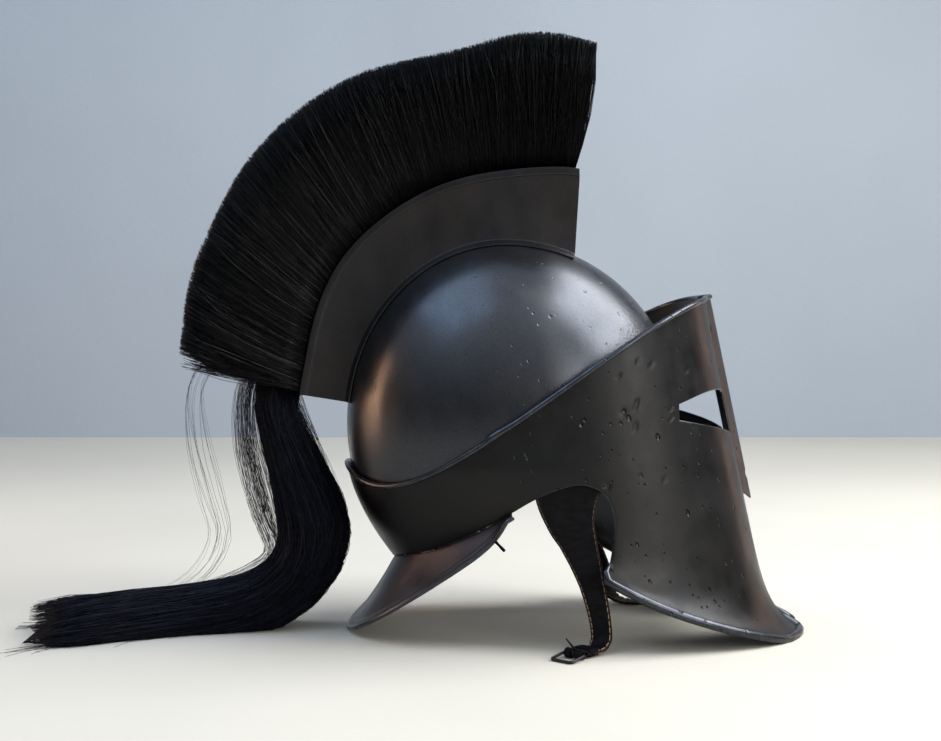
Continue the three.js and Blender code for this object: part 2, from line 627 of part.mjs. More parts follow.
// The row of a route at a point on it, mixed from the two rows on either side.
function nearestRow(rows, p) {
  let best = rows[0];
  let least = Infinity;
  for (let i = 0; i + 1 < rows.length; i += 1) {
    const a = V(rows[i][0], rows[i][1], rows[i][2]);
    const b = V(rows[i + 1][0], rows[i + 1][1], rows[i + 1][2]);
    const t = clamp(p.clone().sub(a).dot(b.clone().sub(a)) / a.distanceToSquared(b), 0, 1);
    const distance = a.lerp(b, t).distanceTo(p);
    if (distance < least) {
      least = distance;
      best = rows[i].map((value, c) => lerp(value, rows[i + 1][c], t));
    }
  }
  return best;
}

// ---- the buckle ----

const BUCKLE = { x: 71.2, y: -111.6, z: 3.85, turn: radians(-132), droop: radians(9.6) };
const FRAME = { length: 17.5, width: 20, wire: 2.2 };
const PRONG = { length: 15.6, half: 1.1, tip: 0.7, eye: 3.1, hole: 1.95, raise: radians(60) };
const LOOP = { radius: 3.6, hole: 1.95, width: 14, back: 8, thick: 3.6, slot: 4.4 };

function roundedRectangle(shape, width, height, radius) {
  const [w, h] = [width / 2 - radius, height / 2 - radius];
  shape.absarc(w, h, radius, 0, Math.PI / 2);
  shape.absarc(-w, h, radius, Math.PI / 2, Math.PI);
  shape.absarc(-w, -h, radius, Math.PI, 1.5 * Math.PI);
  shape.absarc(w, -h, radius, 1.5 * Math.PI, 2 * Math.PI);
  return shape;
}

function extruded(shape, depth) {
  const geometry = new THREE.ExtrudeGeometry(shape, { depth, bevelEnabled: false, curveSegments: 6 });
  geometry.translate(0, 0, -depth / 2);
  geometry.deleteAttribute('normal');
  geometry.deleteAttribute('uv');
  return mergeVertices(geometry, 1e-4);
}

// The wire frame in its own place: the bar lies along Y at x = 0 and the frame reaches forward to +X.
function buckleFrame() {
  const outline = roundedRectangle(new THREE.Shape(), FRAME.length, FRAME.width, 3.5);
  const window = new THREE.Path();
  roundedRectangle(window, FRAME.length - 2 * FRAME.wire, FRAME.width - 2 * FRAME.wire, 1.6);
  outline.holes.push(window);
  return extruded(outline, FRAME.wire).translate((FRAME.length - FRAME.wire) / 2, 0, 0);
}

// The prong: an eye round the bar and a tapering pin along +X.
function buckleProng() {
  const shape = new THREE.Shape();
  const start = Math.asin(PRONG.half / PRONG.eye);
  shape.absarc(0, 0, PRONG.eye, start, 2 * Math.PI - start);
  shape.lineTo(PRONG.length - 1, -PRONG.tip);
  shape.lineTo(PRONG.length, 0);
  shape.lineTo(PRONG.length - 1, PRONG.tip);
  const hole = new THREE.Path();
  hole.absarc(0, 0, PRONG.hole, 0, 2 * Math.PI);
  shape.holes.push(hole);
  return extruded(shape, 2 * PRONG.half).rotateX(Math.PI / 2);
}

// The strap's end, folded round the bar and sewn down, with a slot in the fold for the prong.
function foldedEnd() {
  const shape = new THREE.Shape();
  const start = Math.PI - Math.asin(LOOP.thick / 2 / LOOP.radius);
  shape.absarc(0, 0, LOOP.radius, start, -start, true);
  shape.lineTo(-LOOP.back, -LOOP.thick / 2);
  shape.lineTo(-LOOP.back, LOOP.thick / 2);
  const hole = new THREE.Path();
  hole.absarc(0, 0, LOOP.hole, 0, 2 * Math.PI);
  shape.holes.push(hole);
  return extruded(shape, LOOP.width).rotateX(Math.PI / 2);
}

const toManifold = (geometry) => new wasm.Manifold(new wasm.Mesh({
  numProp: 3,
  vertProperties: new Float32Array(geometry.attributes.position.array),
  triVerts: new Uint32Array(geometry.index.array),
}));

function fromManifold(body) {
  const { vertProperties, triVerts } = body.getMesh();
  const geometry = new THREE.BufferGeometry();
  geometry.setAttribute('position', new THREE.BufferAttribute(new Float32Array(vertProperties), 3));
  geometry.setIndex(new THREE.BufferAttribute(new Uint32Array(triVerts), 1));
  return geometry;
}

const bucklePlace = new THREE.Matrix4().makeTranslation(BUCKLE.x, BUCKLE.y, BUCKLE.z)
  .multiply(new THREE.Matrix4().makeRotationZ(BUCKLE.turn));
const frameTilt = new THREE.Matrix4().makeRotationY(BUCKLE.droop);
const prongTilt = new THREE.Matrix4().makeRotationY(BUCKLE.droop - PRONG.raise);

function rightStrap() {
  const slot = mergeVertices(new THREE.BoxGeometry(2.6 * LOOP.radius, LOOP.slot, 3 * LOOP.radius)
    .deleteAttribute('normal').deleteAttribute('uv').translate(0.5, 0, 0), 1e-4);
  const band = toManifold(strap(STRAP_RIGHT, 26));
  const fold = toManifold(foldedEnd().applyMatrix4(bucklePlace));
  return fromManifold(band.add(fold).subtract(toManifold(slot.applyMatrix4(bucklePlace))));
}

// ---- the lace ----

const LACE = [[6, -78.5, 89], [12, -82.3, 82], [18, -86.4, 76], [23.6, -89.8, 70.6]];

function laceEnd() {
  const curve = new THREE.CatmullRomCurve3(LACE.map(([x, y, z]) => V(x, y, z)));
  const section = new THREE.Shape();
  section.absellipse(0, 0, 0.9, 1.3, 0, 2 * Math.PI);
  const geometry = new THREE.ExtrudeGeometry(section, { extrudePath: curve, steps: 6, curveSegments: 4 });
  geometry.deleteAttribute('normal');
  geometry.deleteAttribute('uv');
  return mergeVertices(geometry, 1e-4);
}

// ---- the helmet ----

const helmet = new THREE.Group();
const leather = [0x0c0b10, 0.55, 0];
helmet.add(mesh('skull', skull(), 0x16171a, 0.34, 0.85));
helmet.add(mesh('face_plate', facePlate(), 0x121315, 0.42, 0.85));
helmet.add(mesh('neck_guard', neckGuard(), 0x1c1a20, 0.4, 0.85));
helmet.add(mesh('crest_box', crestBox(), 0x17161a, 0.5, 0.8));
helmet.add(mesh('crest_brush', crestBrush(), 0x050506, 0.6, 0));
helmet.add(mesh('plume_tail', plumeTail(), 0x050507, 0.6, 0));
helmet.add(mesh('chin_strap_right', rightStrap(), ...leather));
helmet.add(mesh('chin_strap_left', strap(STRAP_LEFT, 28), ...leather));
helmet.add(mesh('lace_end', laceEnd(), ...leather));

const buckle = new THREE.Group();
buckle.applyMatrix4(bucklePlace);
const frame = mesh('buckle_frame', buckleFrame(), 0x0d0d0e, 0.4, 0.9);
frame.applyMatrix4(frameTilt);
const prong = mesh('buckle_prong', buckleProng(), 0x0d0d0e, 0.4, 0.9);
prong.applyMatrix4(prongTilt);
buckle.add(frame, prong);
helmet.add(buckle);

// The origin is the middle of the whole object's box, on the floor.
const extent = new THREE.Box3().setFromObject(helmet, true);
helmet.position.set(-(extent.min.x + extent.max.x) / 2, -(extent.min.y + extent.max.y) / 2, -extent.min.z);

export default helmet;
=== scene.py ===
"""A crested helmet of the ancient Greek kind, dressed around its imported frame.

Everything is built in millimetres about the skull's own plan centre line and then moved to the frame's place.
"""
import logging
import math
from dataclasses import dataclass, field
from enum import Enum
from typing import Callable

import bpy
import numpy as np
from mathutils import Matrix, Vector
from mathutils.kdtree import KDTree


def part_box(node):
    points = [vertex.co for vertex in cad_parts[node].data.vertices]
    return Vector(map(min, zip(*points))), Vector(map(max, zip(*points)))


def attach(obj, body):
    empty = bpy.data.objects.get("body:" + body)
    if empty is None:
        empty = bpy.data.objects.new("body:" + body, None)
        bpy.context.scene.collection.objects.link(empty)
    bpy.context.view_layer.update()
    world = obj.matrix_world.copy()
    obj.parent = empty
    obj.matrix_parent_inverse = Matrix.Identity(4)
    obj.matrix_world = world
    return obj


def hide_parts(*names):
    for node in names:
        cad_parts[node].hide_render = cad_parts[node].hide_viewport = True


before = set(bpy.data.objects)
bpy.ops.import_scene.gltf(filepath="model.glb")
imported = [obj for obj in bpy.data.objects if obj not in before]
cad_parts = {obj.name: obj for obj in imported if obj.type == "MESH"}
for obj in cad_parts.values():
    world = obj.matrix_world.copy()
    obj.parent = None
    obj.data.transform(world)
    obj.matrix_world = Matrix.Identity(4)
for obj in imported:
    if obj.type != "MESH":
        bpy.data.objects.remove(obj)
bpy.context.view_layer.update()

LOG = logging.getLogger("helmet")
MM = 0.001
Array = np.ndarray
Edge = Callable[[Array], Array]


class Body(Enum):
    """The two bodies of the frame."""

    HELMET = "helmet"
    PRONG = "prong"


class Slot(Enum):
    """The record's material slots."""

    SKULL = "skull_steel"
    FACE = "face_steel"
    GUARD = "guard_steel"
    BOX = "box_steel"
    HAIR = "horsehair"
    LEATHER = "strap_leather"
    BUCKLE = "buckle_metal"


class Side(Enum):
    """The wearer's right and left, as signs along Y."""

    RIGHT = -1
    LEFT = 1


# ---- numbers ----

def lerp(a: Array, b: Array, t: Array) -> Array:
    """Mixes a and b by t."""
    return a + (b - a) * t


def smoothstep(x: Array, low: float, high: float) -> Array:
    """Rises smoothly from 0 at low to 1 at high."""
    t = np.clip((x - low) / (high - low), 0.0, 1.0)
    return t * t * (3.0 - 2.0 * t)


def unit(v: Array) -> Array:
    """Scales vectors along the last axis to length 1."""
    return v / np.maximum(np.linalg.norm(v, axis=-1, keepdims=True), 1e-9)


def table(rows: list, key: Array) -> Array:
    """Reads a table of [key, value] rows, softened over a few keys.

    Args:
        rows: the rows, in rising order of their keys.
        key: where to read.

    Returns:
        The values there.
    """
    keys, values = np.array(rows, float).T
    return sum(np.interp(key + s * 3.5, keys, values) for s in (-1, -0.5, 0, 0.5, 1)) / 5


class Spline:
    """A centripetal curve through points, read by its share of length."""

    def __init__(self, points: list) -> None:
        """Samples the curve.

        Args:
            points: rows of two or three coordinates.
        """
        p = np.array(points, float)
        p = np.vstack([2 * p[0] - p[1], p, 2 * p[-1] - p[-2]])
        t = np.linspace(0, 1, 60, endpoint=False)[:, None]
        samples = []
        for a, b, c, d in zip(p, p[1:], p[2:], p[3:]):
            k0, k1, k2 = (max(np.linalg.norm(v - u) ** 0.5, 1e-4) for u, v in ((a, b), (b, c), (c, d)))
            m1 = ((b - a) / k0 - (c - a) / (k0 + k1) + (c - b) / k1) * k1
            m2 = ((c - b) / k1 - (d - b) / (k1 + k2) + (d - c) / k2) * k1
            samples.append(b + m1 * t + (3 * (c - b) - 2 * m1 - m2) * t**2 + (2 * (b - c) + m1 + m2) * t**3)
        self.samples = np.vstack([*samples, p[-2:-1]])
        steps = np.linalg.norm(np.diff(self.samples, axis=0), axis=1)
        self.lengths = np.concatenate([[0], np.cumsum(steps)])
        self.length = float(self.lengths[-1])

    def at(self, t: Array) -> Array:
        """Returns the points at shares t of the whole length."""
        s = np.clip(t, 0, 1) * self.length
        return np.stack([np.interp(s, self.lengths, column) for column in self.samples.T], -1)

    def along(self, t: Array, step: float = 0.01) -> Array:
        """Returns the unit directions at shares t."""
        return unit(self.at(np.minimum(1, t + step)) - self.at(np.maximum(0, t - step)))


def straight(a: Array, b: Array) -> Edge:
    """Returns the straight edge from a to b in a flat domain."""
    return lambda t: lerp(np.asarray(a, float), np.asarray(b, float), np.asarray(t, float)[:, None])


# ---- meshes ----

def frame_shift() -> Array:
    """Returns where the skull's plan centre line stands in the frame, in millimetres."""
    skull_lo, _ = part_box("skull")
    face_lo, face_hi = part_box("face_plate")
    return np.array([skull_lo[0] / MM + 91.5, (face_lo[1] + face_hi[1]) / 2 / MM, 0.0])


SHIFT = frame_shift()


@dataclass
class Shape:
    """Corners in millimetres, faces, and numbers at each corner for the materials."""

    corners: Array
    faces: list
    marks: dict = field(default_factory=dict)

    def volume(self) -> float:
        """Returns the signed volume inside the faces."""
        total = 0.0
        by_size: dict = {}
        for f in self.faces:
            by_size.setdefault(len(f), []).append(f)
        for size, rows in by_size.items():
            p = self.corners[np.array(rows)]
            for k in range(1, size - 1):
                total += float(np.einsum("ij,ij->", p[:, 0], np.cross(p[:, k], p[:, k + 1])))
        return total / 6

    def piece(self, name: str, material: bpy.types.Material, body: Body, slot: Slot,
              replaces: tuple = (), crease: float = 40.0) -> bpy.types.Object:
        """Makes the object that shows.

        Args:
            name: the piece's name.
            material: what it is dressed in.
            body: the body it rides on.
            slot: the record's slot it would take its finish from; not used.
            replaces: the frame's nodes it stands for.
            crease: edges turning by more degrees than this stay sharp.

        Returns:
            The object.
        """
        faces = self.faces if self.volume() > 0 else [tuple(reversed(f)) for f in self.faces]
        mesh = bpy.data.meshes.new(name)
        mesh.from_pydata(((self.corners + SHIFT) * MM).tolist(), [], faces)
        for mark, values in self.marks.items():
            attribute = mesh.attributes.new(mark, "FLOAT", "POINT")
            attribute.data.foreach_set("value", np.asarray(values, np.float32))
        mesh.shade_smooth()
        if crease < 180:
            mesh.set_sharp_from_angle(angle=math.radians(crease))
        mesh.materials.append(material)
        obj = bpy.data.objects.new(name, mesh)
        bpy.context.scene.collection.objects.link(obj)
        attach(obj, body.value)
        if replaces:
            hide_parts(*replaces)
        triangles = sum(len(f) - 2 for f in self.faces)
        LOG.info("%s: %d triangles on %s", name, triangles, body.value)
        return obj


def joined(shapes: list) -> Shape:
    """Puts several shapes in one."""
    start = 0
    faces = []
    for s in shapes:
        faces += [tuple(i + start for i in f) for f in s.faces]
        start += len(s.corners)
    marks = {k: np.concatenate([s.marks[k] for s in shapes]) for k in shapes[0].marks}
    return Shape(np.vstack([s.corners for s in shapes]), faces, marks)


def plate(points: Array, quads: Array, thickness: float, bead: Array, steps: int = 6,
          dent: Array | None = None, proud: Array | None = None) -> Shape:
    """Thickens a lattice of mid-surface points and rolls its free edges.

    Args:
        points: mid-surface points.
        quads: four point numbers a face, counter-clockwise from outside.
        thickness: the sheet's thickness.
        bead: the radius of the roll at each point, used on free edges.
        steps: faces round a roll.
        dent: how far the outer skin is pushed in at each point.
        proud: how far each roll is moved to the outer side, in millimetres.

    Returns:
        The closed shell, with the mark "roll" 1 on its rolled edges and "inner" 1 on its inner skin.
    """
    count = len(points)
    half = thickness / 2
    normals = np.zeros_like(points)
    area = np.cross(points[quads[:, 2]] - points[quads[:, 0]], points[quads[:, 3]] - points[quads[:, 1]])
    for k in range(4):
        np.add.at(normals, quads[:, k], area)
    normals = unit(normals)
    faces = [tuple(dict.fromkeys(q)) for q in quads.tolist()]
    edges = np.vstack([quads[:, [k, (k + 1) % 4]] for k in range(4)])
    edges = edges[edges[:, 0] != edges[:, 1]]
    codes = edges[:, 0] * count + edges[:, 1]
    free = edges[~np.isin(codes, edges[:, 1] * count + edges[:, 0])]
    out = np.zeros_like(points)
    along = unit(points[free[:, 1]] - points[free[:, 0]])
    for k in range(2):
        np.add.at(out, free[:, k], np.cross(along, normals[free[:, k]]))
    rim = np.unique(free)
    place = np.full(count, -1)
    place[rim] = np.arange(len(rim))
    out = unit(out[rim])
    n = normals[rim]
    radius = np.maximum(half, bead[rim])[:, None]
    aside = np.zeros_like(radius) if proud is None else np.minimum(proud[rim][:, None], radius - half)
    reach = np.sqrt(radius**2 - (half - aside) ** 2)
    middle = points[rim] + out * reach + n * aside
    start = np.pi - np.arcsin(np.clip((half - aside) / radius, -1, 1))
    stop = np.arcsin(np.clip((half + aside) / radius, -1, 1)) - np.pi
    outer = points + normals * (half - (0 if dent is None else dent[:, None]))
    rolls = []
    for k in range(1, steps):
        angle = lerp(start, stop, k / steps)
        rolls.append(middle + out * np.cos(angle) * radius + n * np.sin(angle) * radius)
    corners = np.vstack([outer, points - normals * half, *rolls])
    solid = faces + [tuple(i + count for i in reversed(f)) for f in faces]

    def ring(v: Array, k: int) -> Array:
        """Returns the corner numbers of step k of the roll at points v."""
        if k == 0:
            return v
        if k == steps:
            return v + count
        return 2 * count + (k - 1) * len(rim) + place[v]

    for k in range(steps):
        a, b = free[:, 0], free[:, 1]
        solid += np.stack([ring(b, k), ring(a, k), ring(a, k + 1), ring(b, k + 1)], 1).tolist()
    roll = np.zeros(len(corners))
    roll[2 * count:] = 1
    inner = np.zeros(len(corners))
    inner[count:2 * count] = 1
    return Shape(corners, solid, {"roll": roll, "inner": inner})


def loft(rings: Array) -> Shape:
    """Joins rings of equal count into a closed tube with flat ends."""
    number, count, _ = rings.shape
    i, j = np.meshgrid(np.arange(number - 1), np.arange(count), indexing="ij")
    k = (j + 1) % count
    quads = np.stack([i * count + j, i * count + k, (i + 1) * count + k, (i + 1) * count + j], -1).reshape(-1, 4)
    last = (number - 1) * count
    ends = [tuple(range(count - 1, -1, -1)), tuple(range(last, last + count))]
    return Shape(rings.reshape(-1, 3), [*map(tuple, quads.tolist()), *ends])


def tubes(paths: Array, radius: Array, sides: int = 3, seed: int = 1) -> Shape:
    """Makes thin closed tubes.

    Args:
        paths: points of each tube, (tubes, steps, 3).
        radius: the radius at each point, (tubes, steps).
        sides: faces round each tube.
        seed: turns the tubes at random.

    Returns:
        One shape, with the mark "strand" a random number for each tube and "run" its share of length.
    """
    rng = np.random.default_rng(seed)
    number, steps, _ = paths.shape
    along = unit(np.gradient(paths, axis=1))
    u = unit(np.cross(along, unit(rng.normal(size=(number, 1, 3)))))
    v = np.cross(along, u)
    angle = np.arange(sides) / sides * 2 * np.pi
    corners = paths[:, :, None] + radius[:, :, None, None] * (
        np.cos(angle)[:, None] * u[:, :, None] + np.sin(angle)[:, None] * v[:, :, None])
    base = (np.arange(number) * steps * sides)[:, None, None]
    i, j = np.arange(steps - 1)[None, :, None] * sides, np.arange(sides)[None, None, :]
    k = (j + 1) % sides
    quads = np.stack([base + i + j, base + i + k, base + i + sides + k, base + i + sides + j], -1)
    first = np.arange(number)[:, None] * steps * sides
    start = first + np.arange(sides - 1, -1, -1)
    end = first + (steps - 1) * sides + np.arange(sides)
    faces = [*map(tuple, quads.reshape(-1, 4).tolist()), *map(tuple, start.tolist()), *map(tuple, end.tolist())]
    strand = np.repeat(rng.random(number), steps * sides)
    run = np.tile(np.repeat(np.linspace(0, 1, steps), sides), number)
    return Shape(corners.reshape(-1, 3), faces, {"strand": strand, "run": run})


# ---- finishes ----

class Graph:
    """A material's node tree, written with short calls."""

    def __init__(self, name: str) -> None:
        """Starts the material with its shader and its own coordinates."""
        self.material = bpy.data.materials.new(name)
        self.material.use_nodes = True
        self.tree = self.material.node_tree
        self.shader = self.tree.nodes["Principled BSDF"]
        self.coords = self.tree.nodes.new("ShaderNodeTexCoord").outputs["Object"]

    def node(self, kind: str, inputs: dict, **settings: object) -> bpy.types.Node:
        """Adds a node.

        Args:
            kind: its type, without the leading ShaderNode.
            inputs: a socket or a constant for each input, by name or number.
            settings: its own properties.

        Returns:
            The node.
        """
        made = self.tree.nodes.new("ShaderNode" + kind)
        for key, value in settings.items():
            setattr(made, key, value)
        for key, value in inputs.items():
            self.put(made.inputs[key], value)
        return made

    def put(self, socket: bpy.types.NodeSocket, value: object) -> None:
        """Links a socket to an input, or sets the input's constant."""
        if isinstance(value, bpy.types.NodeSocket):
            self.tree.links.new(value, socket)
        else:
            socket.default_value = value

    def set(self, **inputs: object) -> None:
        """Sets the shader's inputs; an underscore stands for a space."""
        for key, value in inputs.items():
            self.put(self.shader.inputs[key.replace("_", " ")], value)

    def mark(self, name: str) -> bpy.types.NodeSocket:
        """Returns a mark of the mesh."""
        return self.node("Attribute", {}, attribute_name=name).outputs["Fac"]

    def moved(self, scale: tuple, turn: tuple = (0, 0, 0)) -> bpy.types.NodeSocket:
        """Returns the coordinates turned, in degrees, and scaled."""
        turned = self.node("Mapping", {"Vector": self.coords, "Rotation": [math.radians(a) for a in turn]})
        return self.node("Mapping", {"Vector": turned.outputs[0], "Scale": scale}).outputs[0]

    def noise(self, scale: float, detail: float = 3,
              coords: bpy.types.NodeSocket | None = None) -> bpy.types.NodeSocket:
        """Returns a noise of that many features a metre."""
        made = self.node("TexNoise", {"Vector": coords or self.coords, "Scale": scale, "Detail": detail})
        return made.outputs["Fac"]

    def ranged(self, value: object, low: float, high: float, to_low: float = 0,
               to_high: float = 1) -> bpy.types.NodeSocket:
        """Maps low..high to to_low..to_high, clamped."""
        made = self.node("MapRange", {0: value, 1: low, 2: high, 3: to_low, 4: to_high})
        return made.outputs[0]

    def math(self, operation: str, a: object, b: object = 0.0) -> bpy.types.NodeSocket:
        """Joins two numbers."""
        return self.node("Math", {0: a, 1: b}, operation=operation).outputs[0]

    def mix(self, share: object, a: object, b: object) -> bpy.types.NodeSocket:
        """Mixes two colours."""
        made = self.node("Mix", {"Factor": share}, data_type="RGBA")
        for key, value in (("A_Color", a), ("B_Color", b)):
            socket = next(s for s in made.inputs if s.identifier == key)
            self.put(socket, (*value, 1) if isinstance(value, tuple) else value)
        return next(s for s in made.outputs if s.identifier == "Result_Color")

    def bump(self, height: object, distance: float, strength: float = 1,
             under: bpy.types.NodeSocket | None = None) -> bpy.types.NodeSocket:
        """Returns the normal pushed by a height, in metres."""
        inputs = {"Height": height, "Distance": distance, "Strength": strength}
        if under is not None:
            inputs["Normal"] = under
        return self.node("Bump", inputs).outputs[0]


@dataclass(frozen=True)
class Steel:
    """Satin black over beaten steel."""

    name: str
    dark: tuple = (0.0165, 0.017, 0.018)
    warm: tuple = (0.0205, 0.0195, 0.0185)
    bare: tuple = (0.30, 0.31, 0.34)
    metallic: float = 0.9
    rough: tuple = (0.30, 0.44)
    peel: float = 0.00006
    peel_from: float = -1.0
    pits: float = 0.0
    pit_from: float = -1.0
    # share of the bare colour on the rolled edges: real wear on the plates, and on the weld its painted glints
    wear_and_glint: float = 0.05
    # rim: lighter bluish colour on the rolled edges, a painted highlight standing in for the light along the beads;
    # the next field sets its share
    rim: tuple = (0.042, 0.046, 0.056)
    roll_highlight: float = 0.7
    # inside: colour of the inner skin; on the face plate it is painted lighter than the black outside, standing in for
    # the light that falls on the inside of the peak
    inside: tuple = (0.052, 0.056, 0.066)
    gloss: float = 0.1

    def material(self) -> bpy.types.Material:
        """Builds the node tree."""
        g = Graph(self.name)
        broad = g.noise(11, 3)
        fine = g.noise(160, 5)
        x = g.node("SeparateXYZ", {0: g.coords}).outputs[0]
        colour = g.mix(g.ranged(broad, 0.35, 0.7), self.dark, self.warm)
        grain = g.noise(900, 4)
        colour = g.mix(g.ranged(grain, 0.45, 0.75, 0, 0.35), colour, (0.008, 0.008, 0.009))
        # where the bare colour goes: worn rolled edges, and on the weld the painted glints
        edge_wear_and_glint = g.math("MULTIPLY", g.mark("roll"), g.ranged(fine, 0.42, 0.62))
        # painted light: the inner skin takes the lighter inside colour
        colour = g.mix(g.mark("inner"), colour, self.inside)
        # painted highlight: the rolled edges are mixed toward the lighter rim colour
        colour = g.mix(g.math("MULTIPLY", g.mark("roll"), self.roll_highlight), colour, self.rim)
        colour = g.mix(g.math("MULTIPLY", edge_wear_and_glint, self.wear_and_glint), colour, self.bare)
        rough = g.ranged(g.noise(45, 4), 0.3, 0.7, *self.rough)
        streaks = g.noise(60, 3, g.moved((1, 1, 0.12), (0, 14, 0)))
        rough = g.math("ADD", rough, g.ranged(streaks, 0.4, 0.7, -0.03, 0.05))
        rough = g.math("SUBTRACT", rough, g.math("MULTIPLY", g.mark("roll"), self.gloss))
        peel_mask = g.ranged(x, self.peel_from, self.peel_from + 0.05)
        peel = g.math("MULTIPLY", g.noise(420, 3), peel_mask)
        normal = g.bump(peel, self.peel, 1)
        normal = g.bump(g.noise(28, 2), 0.0004, 0.3, normal)
        if self.pits:
            for scale, turn, size, most in ((88, 24, 0.16, 0.27), (150, 31, 0.18, 0.25), (230, 12, 0.2, 0.22)):
                where = g.moved((1, 1, 0.62), (0, turn, 0))
                cells = g.node("TexVoronoi", {"Vector": where, "Scale": scale, "Randomness": 1.0})
                pit = g.ranged(cells.outputs["Distance"], size * 0.45, size, 1, 0)
                chosen = g.ranged(g.node("SeparateColor", {0: cells.outputs["Color"]}).outputs[0],
                                  most - 0.01, most, 1, 0)
                mask = g.math("MULTIPLY", g.ranged(x, self.pit_from, self.pit_from + 0.07), chosen)
                pit = g.math("MULTIPLY", pit, mask)
                normal = g.bump(g.math("SUBTRACT", 1.0, pit), 0.0016 * self.pits, 1.0, normal)
                rough = g.math("ADD", rough, g.math("MULTIPLY", pit, -0.1))
        g.set(Base_Color=colour, Metallic=self.metallic, Roughness=rough, Normal=normal)
        return g.material


@dataclass(frozen=True)
class Hair:
    """Coarse glossy black horsehair."""

    name: str
    dark: tuple = (0.0007, 0.0007, 0.0009)
    light: tuple = (0.005, 0.0048, 0.005)
    odd: tuple = (0.034, 0.030, 0.027)
    rough: float = 0.30
    gloss: float = 0.09
    rugged: float = 0.00005

    def material(self) -> bpy.types.Material:
        """Builds the node tree."""
        g = Graph(self.name)
        strand = g.mark("strand")
        clump = g.noise(220, 2)
        colour = g.mix(g.ranged(strand, 0.2, 0.95), self.dark, self.light)
        colour = g.mix(g.ranged(strand, 0.955, 0.97), colour, self.odd)
        rough = g.ranged(clump, 0.3, 0.7, self.rough - 0.06, self.rough + 0.14)
        g.set(Base_Color=colour, Roughness=rough, Normal=g.bump(g.noise(1900, 3), self.rugged, 0.6))
        g.shader.inputs["Specular IOR Level"].default_value = self.gloss
        return g.material


@dataclass(frozen=True)
class Leather:
    """Black strap leather with a fine grain."""

    name: str
    dark: tuple = (0.0016, 0.0015, 0.0022)
    light: tuple = (0.005, 0.0043, 0.0058)
    rough: tuple = (0.42, 0.6)

    def material(self) -> bpy.types.Material:
        """Builds the node tree."""
        g = Graph(self.name)
        cells = g.node("TexVoronoi", {"Vector": g.coords, "Scale": 900.0}, feature="DISTANCE_TO_EDGE")
        grain = g.ranged(cells.outputs["Distance"], 0, 0.18)
        creases = g.noise(130, 4, g.moved((1, 1, 2.2)))
        colour = g.mix(g.ranged(creases, 0.4, 0.7), self.dark, self.light)
        colour = g.mix(g.math("MULTIPLY", g.mark("edge"), 0.8), colour, (0.032, 0.017, 0.012))
        rough = g.ranged(g.noise(70, 4), 0.3, 0.7, *self.rough)
        normal = g.bump(grain, 0.00012, 0.7)
        normal = g.bump(creases, 0.0003, 0.4, normal)
        g.set(Base_Color=colour, Roughness=rough, Normal=normal)
        g.shader.inputs["Specular IOR Level"].default_value = 0.08
        return g.material


@dataclass(frozen=True)
class Thread:
    """Waxed tan thread."""

    name: str
    dark: tuple = (0.12, 0.07, 0.035)
    light: tuple = (0.42, 0.28, 0.15)

    def material(self) -> bpy.types.Material:
        """Builds the node tree."""
        g = Graph(self.name)
        twist = g.node("TexWave", {"Vector": g.coords, "Scale": 420.0, "Distortion": 2.0}).outputs["Fac"]
        shade = g.ranged(g.mark("strand"), 0.42, 0.85)
        colour = g.mix(shade, (0.022, 0.013, 0.009), g.mix(twist, self.dark, self.light))
        g.set(Base_Color=colour, Roughness=g.ranged(g.noise(300), 0.3, 0.7, 0.45, 0.7),
              Normal=g.bump(twist, 0.0002, 0.6))
        return g.material


@dataclass(frozen=True)
class Ground:
    """A plain pale matt surface."""

    name: str
    colour: tuple
    shade: tuple

    def material(self) -> bpy.types.Material:
        """Builds the node tree."""
        g = Graph(self.name)
        g.set(Base_Color=g.mix(g.ranged(g.noise(2.2, 4), 0.3, 0.7), self.colour, self.shade), Roughness=0.85,
              Normal=g.bump(g.noise(120, 4), 0.001, 0.3))
        return g.material


# ---- the helmet's form ----

